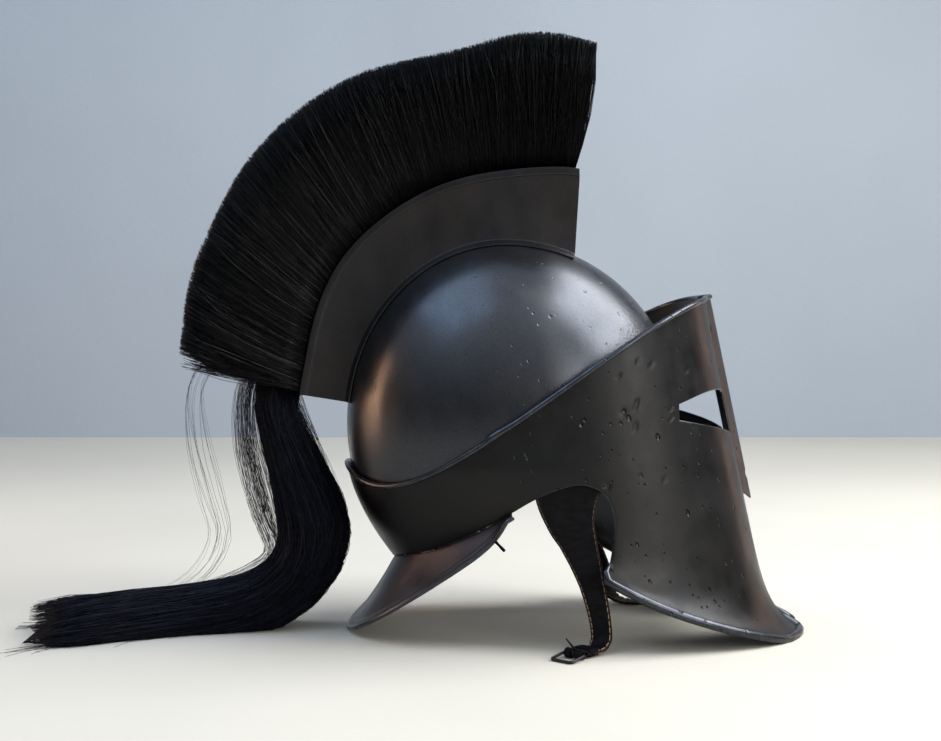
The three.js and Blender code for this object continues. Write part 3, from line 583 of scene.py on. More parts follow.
@dataclass(frozen=True)
class Form:
    """The sizes that the metal pieces share, in millimetres, and the surfaces they give."""

    head: tuple = (25.5, 153.0)
    up: float = 132.7
    front: float = 129.2
    rear: float = 116.2
    side: float = 98.8
    sheet: float = 1.6
    edge_gap: float = 1.5
    plate_side: float = 101.7
    plate_rear: float = 116.8
    blunt: float = 2.4
    keel: float = 6.5
    keel_half: float = 13.0
    bottom_roll: float = 2.5
    worn: float = 1.05
    tilt: tuple = (-90.0, 92.0, 0.392)
    rim_base: float = 136.0
    rim_slope: float = 0.736
    rim_from: float = 2.0
    rim_settle: tuple = (15.0, 165.0, 34.0)
    rim_heel: tuple = (54.4, -91.0, 32.0)
    lower_edge: tuple = ((-57, 53.6), (-29, 67.7), (-10, 77), (12, 88.5), (28.5, 98.5), (43, 107.5), (60, 115),
                         (76, 118.2), (88, 114.5), (94.5, 109))
    box_outer: tuple = ((-16.1, 194), (-8, 188.5), (0, 184.3), (16, 180), (29, 175.2), (44, 170), (52, 165.2),
                        (63, 158), (72, 153), (82, 152))

    def front_line(self, z: Array) -> Array:
        """Returns the reach of the leaning front line at height z."""
        return 165.2 + 0.213 * (297.5 - z) - self.head[0]

    def keel_depth(self, z: Array) -> Array:
        """Returns how far the middle of the face stands forward at height z."""
        return self.keel * lerp(0.45, 1, smoothstep(297.5 - z, 0, 90))

    def bottom_edge(self, angle: Array) -> Array:
        """Returns the height of the cheek guards' bottom edge at a plan angle."""
        rise = 0.497 * np.maximum(0, np.degrees(angle) - 15) ** 1.25
        return rise + 1.55 * self.bottom_roll - self.worn

    def plan_radius(self, angle: Array, z: Array) -> Array:
        """Returns the band's radius at a plan angle and height, without keel and flare."""
        angle, z = np.broadcast_arrays(np.asarray(angle, float), np.asarray(z, float))
        ahead = angle < np.pi / 2
        tuck = 35.2 * (np.maximum(0, (130 - z) / 76.4) ** 1.7) * smoothstep(
            angle, math.radians(50), math.radians(95))
        reach = np.where(ahead, self.front_line(z) - self.keel_depth(z), self.plate_rear)
        power = np.where(ahead, self.blunt, 2.0)
        terms = (np.abs(np.cos(angle)) / reach) ** power + (np.abs(np.sin(angle)) / self.plate_side) ** power
        return terms ** (-1 / power) - tuck

    def face_point(self, phi: Array, z: Array) -> Array:
        """Returns the face plate's mid surface at a signed plan angle and height."""
        angle = np.abs(phi)
        base = self.plan_radius(angle, z)
        across = np.minimum(1, np.abs(base * np.sin(angle)) / self.keel_half)
        keel = np.where(angle < 1, self.keel_depth(z) * (1 - across), 0)
        turn_out = lerp(19.0, 8.0, smoothstep(angle, 0.3, 1))
        below = np.maximum(0, z - self.bottom_edge(angle)) / 14.5
        fade = 1 - smoothstep(angle, math.radians(60), math.radians(80))
        fade = np.where((z > 103) & (angle < 0.085), 0, fade)
        radius = base + keel + turn_out * np.exp(-below) * fade
        return np.stack([self.head[0] + radius * np.cos(phi), radius * np.sin(phi),
                         z * np.ones_like(radius)], -1)

    def angle_at(self, x: Array, z: Array) -> Array:
        """Returns the plan angle at which the plate has the given x at height z."""
        low = np.zeros(np.broadcast(x, z).shape)
        high = low + np.pi
        for _ in range(40):
            middle = (low + high) / 2
            beyond = self.face_point(middle, z)[..., 0] > x
            low, high = np.where(beyond, middle, low), np.where(beyond, high, middle)
        return (low + high) / 2

    def rim_height(self, x: Array) -> Array:
        """Returns the height of the upper rim at x."""
        drop, brow_x, brow_run = self.rim_settle
        rise, heel_x, heel_run = self.rim_heel
        straight_part = self.rim_base + self.rim_slope * (x - self.rim_from)
        return straight_part - drop * np.exp((x - brow_x) / brow_run) + rise * np.exp((heel_x - x) / heel_run)

    def rim_at(self, angle: Array) -> Array:
        """Returns the height of the upper rim at a plan angle."""
        low = np.full(np.shape(angle), 100.0)
        high = low + 210
        for _ in range(40):
            z = (low + high) / 2
            above = self.rim_height(self.face_point(angle, z)[..., 0]) > z
            low, high = np.where(above, z, low), np.where(above, high, z)
        return (low + high) / 2

    def edge_below(self) -> Edge:
        """Returns the band's lower edge, from the middle of the back to the cheek guard's corner."""
        points = np.array(self.lower_edge, float)
        angles = self.angle_at(points[:, 0], points[:, 1])
        angles[0] = np.pi
        curve = Spline(np.stack([angles * 100, points[:, 1]], 1))

        def read(t: Array) -> Array:
            """Reads the edge at shares t."""
            p = curve.at(np.asarray(t, float))
            return np.stack([np.minimum(np.pi, p[..., 0] / 100), p[..., 1]], -1)

        return read

    def skull_radius(self, angle: Array, z: Array) -> Array:
        """Returns the skull's radius at a plan angle and height."""
        reach = np.where(np.cos(angle) > 0, self.front, self.rear)
        plan = ((np.cos(angle) / reach) ** 2 + (np.sin(angle) / self.side) ** 2) ** -0.5
        return plan * np.sqrt(np.maximum(0, 1 - ((z - self.head[1]) / self.up) ** 2))

    def crown_radius(self, degrees: Array, y: float) -> Array:
        """Returns the skull's outer surface beside the crest, from its centre, at an angle from straight up."""
        reach = np.where(np.asarray(degrees) < 0, self.front, self.rear)
        a = np.radians(degrees)
        plane = ((np.sin(a) / reach) ** 2 + (np.cos(a) / self.up) ** 2) ** -0.5
        return plane * math.sqrt(1 - (y / self.side) ** 2) + self.sheet / 2

    def crest_point(self, degrees: Array, radius: Array, y: Array) -> Array:
        """Returns a point of the crest from its angle from straight up, radius and side."""
        a = np.radians(degrees)
        x = self.head[0] - radius * np.sin(a)
        return np.stack(np.broadcast_arrays(x, y, self.head[1] + radius * np.cos(a)), -1)


FORM = Form()


@dataclass
class FacePlate:
    """The one-piece plate: low arched brow, eye openings, nasal, cheek guards and the band behind."""

    fine: int = 9
    band_fine: int = 5
    slot_rear: tuple = (144.6, 172.0, 160.0)
    slot_front: tuple = (176.0, 145.5)
    arch: float = 6.0
    tip: tuple = (96.5, 103.0)
    cheek_rear: tuple = ((94.5, 109), (98.6, 99), (99.8, 86), (98, 72), (95.4, 56.5))
    pits: int = 34
    rim_roll: float = 1.95
    foot_roll: float = 3.2
    corner: float = 6.0
    points: list = field(default_factory=list)
    quads: list = field(default_factory=list)
    count: int = 0

    def patch(self, sides: tuple, columns: int, rows: int) -> None:
        """Adds a lattice between four edges in the plan angle and height, on both halves.

        Args:
            sides: the edges: south, north, west, east.
            columns: faces from west to east.
            rows: faces from south to north.
        """
        south, north, west, east = sides
        s, t = np.linspace(0, 1, columns + 1), np.linspace(0, 1, rows + 1)
        below, above = south(s)[:, None], north(s)[:, None]
        left, right = west(t)[None], east(t)[None]
        s, t = s[:, None, None], t[None, :, None]
        flat = lerp(below, above, t) + lerp(left, right, s) - lerp(
            lerp(below[:1], below[-1:], s), lerp(above[:1], above[-1:], s), t)
        i, j = np.meshgrid(np.arange(columns), np.arange(rows), indexing="ij")
        first = i * (rows + 1) + j
        quads = np.stack([first, first + rows + 1, first + rows + 2, first + 1], -1).reshape(-1, 4)
        flat = flat.reshape(-1, 2).round(5)
        for sign in (1, -1):
            self.points.append(flat * (sign, 1))
            self.quads.append((quads if sign > 0 else quads[:, ::-1]) + self.count)
            self.count += len(flat)

    def lattice(self) -> tuple:
        """Returns the mid-surface points and quads of the whole plate."""
        f, k = FORM, self.fine

        def to_angles(x: float, z: float) -> tuple:
            """Returns a point's plan angle and height."""
            return float(f.angle_at(np.array(x), np.array(z))), z

        def rim(a: float, b: float) -> Edge:
            """Returns the rim between two plan angles."""
            return lambda t: np.stack([lerp(a, b, t), f.rim_at(lerp(a, b, t))], -1)

        def up(p: tuple) -> Edge:
            """Returns the edge from a point straight up to the rim."""
            return straight(p, (p[0], float(f.rim_at(np.array(p[0])))))

        def nasal(z: Array) -> Array:
            """Returns the nasal's side as plan angle and height."""
            return np.stack([np.arcsin(f.keel_half / f.plan_radius(0.07, z)), z], -1)

        def front_edge(t: Array) -> Array:
            """Returns the cheek guard's front edge."""
            z = lerp(float(f.bottom_edge(0)), self.slot_front[1], t**1.35)
            wide = lerp(13.5, 17, np.clip(z / 145, 0, 1))
            return np.stack([np.arcsin(wide / f.plan_radius(0.07, z)), z], -1)

        def bottom(a: float, b: float) -> Edge:
            """Returns the bottom edge between two plan angles."""
            return lambda t: np.stack([lerp(a, b, t), f.bottom_edge(lerp(a, b, t))], -1)

        def lid(t: Array) -> Array:
            """Returns the arched upper edge of the eye opening."""
            line = straight(nasal_top, rear_top)(t)
            return line + np.stack([np.zeros_like(t), self.arch * np.sin(np.pi * t)], -1)

        corner = to_angles(*f.lower_edge[-1])
        corner_middle, back_middle = (corner[0], 158.0), (np.pi, 92.0)
        rear_top = to_angles(self.slot_rear[0], self.slot_rear[1])
        rear_low = to_angles(self.slot_rear[0], self.slot_rear[2])
        nasal_top = tuple(nasal(np.array(self.slot_front[0])))
        middle_top, tip = (0.0, self.slot_front[0] - 0.5), (0.0, self.tip[0])
        tip_side = tuple(nasal(np.array(self.tip[1])))
        self.patch((straight(middle_top, nasal_top), rim(0, nasal_top[0]), up(middle_top), up(nasal_top)),
                   k, 5 * k)
        self.patch((lid, rim(nasal_top[0], rear_top[0]), up(nasal_top), up(rear_top)),
                   5 * k, 5 * k)
        self.patch((straight(tip, tip_side), straight(middle_top, nasal_top), straight(tip, middle_top),
                    lambda t: nasal(lerp(self.tip[1], self.slot_front[0], t))), k, 5 * k)
        self.patch((straight(rear_top, corner_middle), rim(rear_top[0], corner[0]), up(rear_top),
                    up(corner_middle)),
                   4 * k, 5 * k)
        self.patch((straight(rear_low, corner), straight(rear_top, corner_middle), straight(rear_low, rear_top),
                    straight(corner, corner_middle)), 4 * k, 3 * k)
        rows = [to_angles(x, z) for x, z in reversed(self.cheek_rear)]
        curve = Spline([(a * 100, z) for a, z in rows])

        def cheek_rear(t: Array) -> Array:
            """Returns the cheek guard's rear edge, upwards."""
            p = curve.at(t) / (100, 1)
            z = np.where(t == 0, f.bottom_edge(p[:, 0]), p[:, 1])
            return np.stack([p[:, 0], z], -1)

        middle = 0.54
        middle_down = straight((middle, float(f.bottom_edge(middle))), rear_low)
        self.patch((bottom(middle, rows[0][0]), straight(rear_low, corner), middle_down, cheek_rear),
                   4 * k, 7 * k)
        start = front_edge(np.array([0.0, 1.0]))
        self.patch((bottom(start[0, 0], middle), straight(start[1], rear_low), front_edge, middle_down),
                   6 * k, 7 * k)
        below = f.edge_below()
        band = (lambda t: np.stack([lerp(corner[0], np.pi, t), lerp(corner_middle[1], 92.0, t**0.8)], -1))
        columns = 15 * self.band_fine
        self.patch((band, rim(corner[0], np.pi), up(corner_middle), up(back_middle)), columns, 5 * k)
        self.patch((lambda t: below(1 - t), band, straight(corner, corner_middle),
                    straight((np.pi, below(np.array([0.0]))[0, 1]), back_middle)), columns, 3 * k)
        flat = self.rounded(np.vstack(self.points), front_edge)
        flat[np.abs(flat[:, 0]) < 1e-4, 0] = 0
        flat[np.abs(flat[:, 0]) > np.pi - 1e-4, 0] = np.pi
        unique, index = np.unique(flat.round(5), axis=0, return_inverse=True)
        return f.face_point(unique[:, 0], unique[:, 1]), index.ravel()[np.vstack(self.quads)]

    def rounded(self, flat: Array, front_edge: Edge) -> Array:
        """Rounds the top front corner of each cheek guard.

        Args:
            flat: plan angles and heights of the lattice.
            front_edge: the cheek guard's front edge.

        Returns:
            The lattice with that corner drawn in.
        """
        f, size = FORM, self.corner
        start = front_edge(np.array([1.0]))[0, 0]
        angle = np.abs(flat[:, 0])
        reach = f.plan_radius(0.07, flat[:, 1])
        ahead = (angle - start) * reach
        below = self.slot_front[1] + (self.slot_rear[2] - self.slot_front[1]) * ahead / 90 - flat[:, 1]
        inside = (ahead > -0.5) & (ahead < size) & (below > -0.5) & (below < size)
        inside &= flat[:, 1] < self.slot_rear[2] + 1
        p = size - np.clip(np.stack([ahead, below], -1), 0, size)
        square = p.max(-1)
        moved = p * (square / np.maximum(np.linalg.norm(p, axis=-1), 1e-6))[:, None]
        step = (p - moved) * inside[:, None]
        out = flat.copy()
        out[:, 0] += np.sign(flat[:, 0]) * step[:, 0] / reach
        out[:, 1] -= step[:, 1]
        return out

    def dents(self, points: Array) -> Array:
        """Returns how deep the outer skin is pitted at each point."""
        rng = np.random.default_rng(11)
        x, z = points[:, 0], points[:, 2]
        angle = np.abs(np.arctan2(points[:, 1], x - FORM.head[0]))
        weight = smoothstep(x, 40, 110) * (1 - 0.75 * smoothstep(x, 158, 180)) * (0.25 + smoothstep(z, 60, 150))
        weight = weight * smoothstep(z - FORM.bottom_edge(angle), 5, 12) * smoothstep(
            FORM.rim_height(x) - z, 5, 10)
        chosen = rng.choice(len(points), self.pits, p=weight / weight.sum(), replace=False)
        tree = KDTree(len(points))
        for i, p in enumerate(points):
            tree.insert(p, i)
        tree.balance()
        deep = np.zeros(len(points))
        for c in chosen:
            size, depth, lean = rng.uniform(1.1, 1.5), rng.uniform(0.5, 0.85), rng.uniform(0.1, 0.7)
            near = [i for _, i, _ in tree.find_range(points[c], 3 * size)]
            d = points[near] - points[c]
            along = d[:, 2] * math.cos(lean) + d[:, 0] * math.sin(lean)
            r2 = ((d**2).sum(1) - along**2 + (along * 0.5) ** 2) / size**2
            deep[near] = np.maximum(deep[near], depth * np.exp(-(r2**2)))
        return deep

    def build(self) -> None:
        """Makes the plate, with its rolled rim and bottom edge and its pits."""
        points, quads = self.lattice()
        x, y, z = points.T
        angle = np.abs(np.arctan2(y, x - FORM.head[0]))
        lap = smoothstep(x, 11, 13) * (1 - smoothstep(x, 16, 36)) * (y < 0)
        bead = np.full(len(points), FORM.sheet / 2)
        low = (1 - smoothstep(z - FORM.bottom_edge(angle), 1, 12)) * (angle < 1.1)
        bead = lerp(bead, self.foot_roll, low)
        proud = low * (self.foot_roll - FORM.bottom_roll)
        rim = np.abs(z - FORM.rim_height(x)) < 1.5
        bead[rim] = (self.rim_roll + 0.8 * lap)[rim]
        proud[rim] = 0.8
        shape = plate(points, quads, FORM.sheet, bead, 8, self.dents(points), proud)
        shape.corners[:, 2] = np.maximum(0, shape.corners[:, 2])
        finish = Steel("face_steel_satin", pits=1.0, pit_from=SHIFT[0] * MM + 0.02, peel=0.00005)
        shape.piece("face_plate_beaten", finish.material(), Body.HELMET, Slot.FACE, ("face_plate",), 50)


@dataclass
class Skull:
    """The domed skull inside the plate."""

    columns: int = 176
    rows: int = 76
    sweep: float = 30.0

    def build(self) -> None:
        """Makes the dome with its apron inside the plate."""
        f = FORM
        phi = np.arange(self.columns) / self.columns * 2 * np.pi
        angle = np.minimum(phi, 2 * np.pi - phi)
        edge = np.full(self.columns, 120.0)
        for _ in range(25):
            edge = f.tilt[1] + f.tilt[2] * (f.head[0] + f.plan_radius(angle, edge) * np.cos(angle) - f.tilt[0])
        lowest = np.arccos((edge - f.head[1]) / f.up)
        t = (np.arange(1, self.rows + 1) / self.rows)[:, None]
        z = f.head[1] + f.up * np.cos(lowest * t**0.9)
        swept = np.clip((edge + self.sweep - z) / self.sweep, 0, 1) ** 2
        dome = f.skull_radius(angle, z)
        wall = f.plan_radius(np.broadcast_to(angle, z.shape), z) - f.sheet - f.edge_gap
        radius = lerp(dome, np.maximum(wall, dome), swept)
        points = np.stack([f.head[0] + radius * np.cos(phi), radius * np.sin(phi), z], -1).reshape(-1, 3)
        points = np.vstack([[f.head[0], 0, f.head[1] + f.up], points])
        i, j = np.meshgrid(np.arange(self.columns), np.arange(self.rows), indexing="ij")

        def number(column: Array, row: Array) -> Array:
            """Returns the numbers of lattice points, row 0 being the top."""
            return np.where(row == 0, 0, 1 + (row - 1) * self.columns + column % self.columns)

        quads = np.stack([number(i, j + 1), number(i + 1, j + 1), number(i + 1, j), number(i, j)],
                         -1).reshape(-1, 4)
        shape = plate(points, quads, f.sheet, np.full(len(points), f.sheet / 2), 4)
        finish = Steel("skull_steel_satin", dark=(0.050, 0.054, 0.062), warm=(0.054, 0.053, 0.055), rough=(0.27, 0.34),
                       peel=0.00022, peel_from=SHIFT[0] * MM + 0.07, pits=0.12, pit_from=SHIFT[0] * MM - 0.03)
        shape.piece("skull_dome", finish.material(), Body.HELMET, Slot.SKULL, ("skull",), 60)


@dataclass
class NeckGuard:
    """The flared guard under the band at the back."""

    tip_x: float = -89.0
    half: float = 96.5
    blunt: float = 2.2
    lap: float = 5.0
    inside: float = 3.1
    end: float = 88.5
    columns: int = 190
    roll: float = 1.7
    hem: float = 0.85

    def seam(self, angle: Array) -> Array:
        """Returns the height of the band's lower edge at plan angles."""
        t = np.linspace(0, 1, 800)
        edge = FORM.edge_below()(t)
        return np.interp(angle, edge[::-1, 0], edge[::-1, 1])

    def build(self) -> None:
        """Makes the guard with its rolled rim and pressed hem line, and the weld along its seam."""
        f = FORM
        rows = np.concatenate([[-1, -0.5], np.linspace(0, 1, 34)])
        phi = np.radians(np.linspace(self.end, 360 - self.end, self.columns + 1))[:, None]
        angle = np.minimum(phi, 2 * np.pi - phi)
        seam_z = self.seam(angle)
        reach = f.head[0] - self.tip_x
        plan = ((np.abs(np.cos(angle)) / reach) ** self.blunt + (np.sin(angle) / self.half) ** self.blunt) ** (
            -1 / self.blunt)
        x = f.head[0] + plan * np.cos(angle)
        rim_z = np.maximum(0, 0.7 * (x - self.tip_x)) + 17.4 * np.exp((x - 29) / 8) + 1.5 * self.roll
        rim_z = np.minimum(seam_z - 4, rim_z)
        seam = f.plan_radius(angle, seam_z) - self.inside
        t = np.maximum(0, rows)[None]
        outward = np.maximum(plan, seam) - seam
        bulge = 3 * np.sin(np.pi * t) * np.clip((seam_z - rim_z) / 50, 0, 1)
        radius, z = seam + outward * t, lerp(seam_z - 0.5, rim_z, t) - bulge
        lapped = rows[None] < 0
        lap_z = seam_z - rows[None] * self.lap
        z = np.where(lapped, lap_z, z)
        radius = np.where(lapped, f.plan_radius(np.broadcast_to(angle, z.shape), lap_z) - self.inside, radius)
        points = np.stack([f.head[0] + radius * np.cos(phi), radius * np.sin(phi), z], -1)
        drop = np.hypot(outward, seam_z - rim_z)
        from_rim = (1 - t) * drop
        dent = -self.hem * (1 - smoothstep(from_rim, 4.6, 5.6)) * smoothstep(drop, 12, 20) * (rows[None] >= 0)
        i, j = np.meshgrid(np.arange(self.columns), np.arange(len(rows) - 1), indexing="ij")
        first = i * len(rows) + j
        quads = np.stack([first + 1, first + len(rows) + 1, first + len(rows), first], -1).reshape(-1, 4)
        bead = np.full(points.shape[:2], f.sheet / 2)
        bead[:, -1] = self.roll
        proud = np.full(bead.size, 0.5)
        dent = np.broadcast_to(dent, points.shape[:2]).ravel()
        shape = plate(points.reshape(-1, 3), quads, f.sheet, bead.ravel(), 6, dent, proud)
        finish = Steel("guard_steel_satin", dark=(0.074, 0.071, 0.083), warm=(0.084, 0.076, 0.078),
                       rough=(0.34, 0.46), peel=0.00007)
        shape.piece("neck_guard_flared", finish.material(), Body.HELMET, Slot.GUARD, ("neck_guard",), 50)
        self.weld()

    def weld(self) -> None:
        """Makes the thin uneven weld along the seam."""
        rng = np.random.default_rng(5)
        angle = np.radians(np.linspace(self.end + 2, 180, 420))
        z = self.seam(angle) - 1.4
        radius = FORM.plan_radius(angle, self.seam(angle)) - 1.6
        size = 0.28 + 0.4 * np.abs(np.convolve(rng.normal(size=426), np.ones(7) / 2.6, "valid"))
        # Random lighter spots along the weld, painted glints: they take the bare-steel colour to stand in for the
        # bright dashes of light along the joint.
        weld_glint = smoothstep(np.convolve(rng.normal(size=431), np.ones(12) / 3.4, "valid"), 0.45, 0.8)
        shapes = []
        for side in Side:
            path = np.stack([FORM.head[0] + radius * np.cos(angle), side.value * radius * np.sin(angle), z], -1)
            shape = tubes(path[None], np.minimum(size, 0.95)[None], 5)
            shape.marks = {"roll": np.repeat(weld_glint, 5)}
            shapes.append(shape)
        finish = Steel("weld_steel", bare=(0.20, 0.19, 0.185), rough=(0.35, 0.5), wear_and_glint=1.0, roll_highlight=0.0)
        joined(shapes).piece("guard_weld", finish.material(), Body.HELMET, Slot.GUARD, (), 60)


@dataclass
class CrestBox:
    """The curved box that holds the crest's hair."""

    half: float = 17.0
    wall: float = 1.5
    floor: float = 1.8
    hem: float = 0.8
    hem_width: float = 5.0
    foot: float = 24.0
    lift: float = 0.9
    outer: tuple = (-16.1, 82.0)
    inner: tuple = (-22.3, 82.3)
    steps: int = 96

    def ring(self, t: float, filled: bool) -> Array:
        """Returns one section of the box.

        Args:
            t: its share of the way from the front to the back.
            filled: whether it is part of an end wall.

        Returns:
            Its corners, rounded.
        """
        f = FORM
        outer, inner = lerp(*self.outer, t), lerp(*self.inner, t)
        top = float(table(f.box_outer, outer))
        crown = float(f.crown_radius(inner, 0))

        def under(y: float) -> float:
            """Returns the box's underside at a side distance."""
            return float(f.crown_radius(inner, y)) + self.lift

        inside = self.half - self.wall
        floor = top - 1 if filled else under(0) + self.floor
        hem = top - self.hem_width
        side = [(inside, floor), (inside, top), (self.half + self.hem, top), (self.half + self.hem, hem),
                (self.half, hem - 0.8), (self.half, under(self.half) + 2.2), (self.half + 1.4, under(self.half) + 1.2),
                (self.foot, under(self.foot) + 0.9), (self.foot, under(self.foot) - 0.3),
                (self.half - 1, under(self.half - 1) - 0.3), (7.0, under(7) - 0.3)]
        flat = np.array(side + [(-y, r) for y, r in reversed(side)])
        soft = []
        for k, p in enumerate(flat):
            before, after = flat[k - 1] - p, flat[(k + 1) % len(flat)] - p
            a = p + before * min(0.4, 0.35 / max(np.linalg.norm(before), 1e-6))
            b = p + after * min(0.4, 0.35 / max(np.linalg.norm(after), 1e-6))
            soft += [a, (a + 2 * p + b) / 4, b]
        y, r = np.array(soft).T
        share = np.clip((r - crown) / (top - crown), 0, 1)
        return f.crest_point(lerp(inner, outer, share), r, y)

    def build(self) -> None:
        """Makes the box."""
        wall = self.wall / (2.6 * (self.outer[1] - self.outer[0]))
        middle = np.linspace(wall + 0.0005, 1 - wall - 0.0005, self.steps + 1)
        rings = [self.ring(0, True), self.ring(wall, True), *(self.ring(t, False) for t in middle),
                 self.ring(1 - wall, True), self.ring(1, True)]
        shape = loft(np.array(rings))
        y = np.abs(shape.corners[:, 1])
        # The folded hem band is marked as a roll, so it takes the lighter rim colour: a painted highlight along the
        # hem.
        shape.marks = {"roll": ((y > self.half + 0.3) * 1.0)}
        finish = Steel("box_steel_matt", dark=(0.028, 0.027, 0.029), warm=(0.036, 0.031, 0.028), rough=(0.4, 0.5),
                       rim=(0.05, 0.05, 0.056), peel=0.00004, wear_and_glint=0.0, roll_highlight=0.35)
        shape.piece("crest_box_folded", finish.material(), Body.HELMET, Slot.BOX, ("crest_box",), 30)


@dataclass
class CrestBrush:
    """The upright horsehair of the crest."""

    tips: tuple = ((-13, 283.5), (-9, 287), (-4, 286), (1, 281.5), (5, 275), (12, 273), (23, 276.7), (35, 274),
                   (46, 268), (55, 259.5), (66, 253.5), (76, 244))
    base: tuple = (-15.3, 81.2)
    tip: tuple = (-13.1, 76.1)
    foot: float = 15.1
    strands: int = 3900
    width: float = 0.24

    def half_width(self, s: Array) -> Array:
        """Returns the brush's half width at a share of the hair's free length."""
        return np.interp(s, [0, 0.35, 0.72, 0.96, 1], [self.foot, 19.5, 23.6, 25.2, 24.6])

    def core(self) -> Shape:
        """Returns the dark mass inside the hair."""
        rings = []
        for t in np.linspace(0, 1, 90):
            base, tip = lerp(*self.base, t), lerp(*self.tip, t)
            top = float(table(FORM.box_outer, base))
            reach = float(table(self.tips, tip)) - 2.4
            root = float(FORM.crown_radius(base, 0)) + 3.9
            s = np.array([-1, 0, 0.2, 0.4, 0.6, 0.8, 0.95, 1])
            r = np.where(s < 0, root, lerp(top, reach, np.maximum(0, s)))
            y = np.where(s <= 0, self.foot - 1, self.half_width(np.maximum(0, s)) - 2.2)
            y[-2:] = 21.5, 16.5
            r, y = np.concatenate([r, r[::-1]]), np.concatenate([y, -y[::-1]])
            share = np.clip((r - top) / (reach - top), 0, 1)
            rings.append(FORM.crest_point(lerp(base, tip, share), r, y))
        shape = loft(np.array(rings[::-1]))
        shape.marks = {"strand": np.full(len(shape.corners), 0.1)}
        return shape

    def hair(self, seed: int) -> Shape:
        """Returns one sheaf of strands."""
        rng = np.random.default_rng(seed)
        n = self.strands
        t = rng.random(n)
        end = rng.random(n)
        t = np.where(end < 0.05, rng.uniform(0, 0.02, n), np.where(end > 0.95, rng.uniform(0.98, 1, n), t))
        shell = rng.random(n) < 0.7
        across = np.where(shell, rng.uniform(0.9, 1.01, n), rng.random(n)) * rng.choice([-1, 1], n)
        lock = np.sin(t * 190 + 2 * np.sign(across)) * 0.35 + np.sin(t * 71) * 0.4
        base = lerp(*self.base, t)
        astray = np.where(rng.random(n) < 0.25, 2.2, 0.75)
        tip = lerp(*self.tip, t) + rng.normal(0, 1, n) * astray + lock
        tip = np.clip(tip, self.tip[0] - 0.25, self.tip[1] + 1.5)
        # Painted light: strands toward the back of the brush get a larger strand number, so they are painted lighter
        # and only they reach the odd colour, standing in for the light caught by the hair there; the front strands
        # stay darker.
        rear_glint = 0.3 + 0.7 * smoothstep(t, 0.25, 0.8)
        fringe = (t > 0.975) & (rng.random(n) < 0.4)
        tip = np.where(fringe, self.tip[1] + rng.uniform(-0.5, 4.2, n), tip)
        wild = rng.random(n) < 0.012
        tip = np.where(wild, tip + rng.normal(0, 4, n), tip)
        tip = np.clip(tip, self.tip[0] - 0.4, self.tip[1] + np.where(fringe, 4.2, 1.8))
        top = table(FORM.box_outer, base)
        reach = table(self.tips, tip) + rng.normal(-0.6, 0.45, n) - 2.2 * smoothstep(np.abs(across), 0.85, 1.0)
        reach -= np.where(rng.random(n) < 0.06, rng.uniform(0, 22, n), 0)
        reach -= np.where(fringe, rng.uniform(0, 34, n), 0)
        reach += np.where(rng.random(n) < 0.02, rng.uniform(0, 1.2, n), 0)
        s = np.array([-0.04, 0.2, 0.45, 0.72, 1.0])[None]
        bow = rng.normal(0, 0.45, n)[:, None] * np.sin(np.pi * np.clip(s, 0, 1))
        bow += np.where(wild & (t > 0.1), rng.normal(0, 1.5, n), 0)[:, None] * np.sin(np.pi * np.clip(s, 0, 1))
        degrees = lerp(base[:, None], tip[:, None], np.clip(s, 0, 1)) + bow
        radius = lerp(top[:, None], reach[:, None], s)
        y = across[:, None] * self.half_width(s) + rng.normal(0, 0.5, n)[:, None] * s
        paths = FORM.crest_point(degrees, radius, y)
        thick = self.width * rng.uniform(0.7, 1.25, n)[:, None] * np.array([1, 1, 1, 0.95, 0.8])[None]
        shape = tubes(paths, thick, 3, seed)
        shape.marks["strand"] = shape.marks["strand"] * np.repeat(rear_glint, len(shape.corners) // n)
        return shape

    def build(self) -> None:
        """Makes the dark mass and three sheaves of strands."""
        hair = Hair("horsehair_crest", light=(0.012, 0.0118, 0.0125), odd=(0.045, 0.042, 0.04)).material()
        mass = Hair("horsehair_crest_mass", rough=0.7, gloss=0.03, rugged=0.0006).material()
        self.core().piece("crest_brush_core", mass, Body.HELMET, Slot.HAIR, ("crest_brush",), 60)
        for k in range(3):
            self.hair(31 + k).piece(f"crest_brush_hair_{k + 1}", hair, Body.HELMET, Slot.HAIR, (), 180)


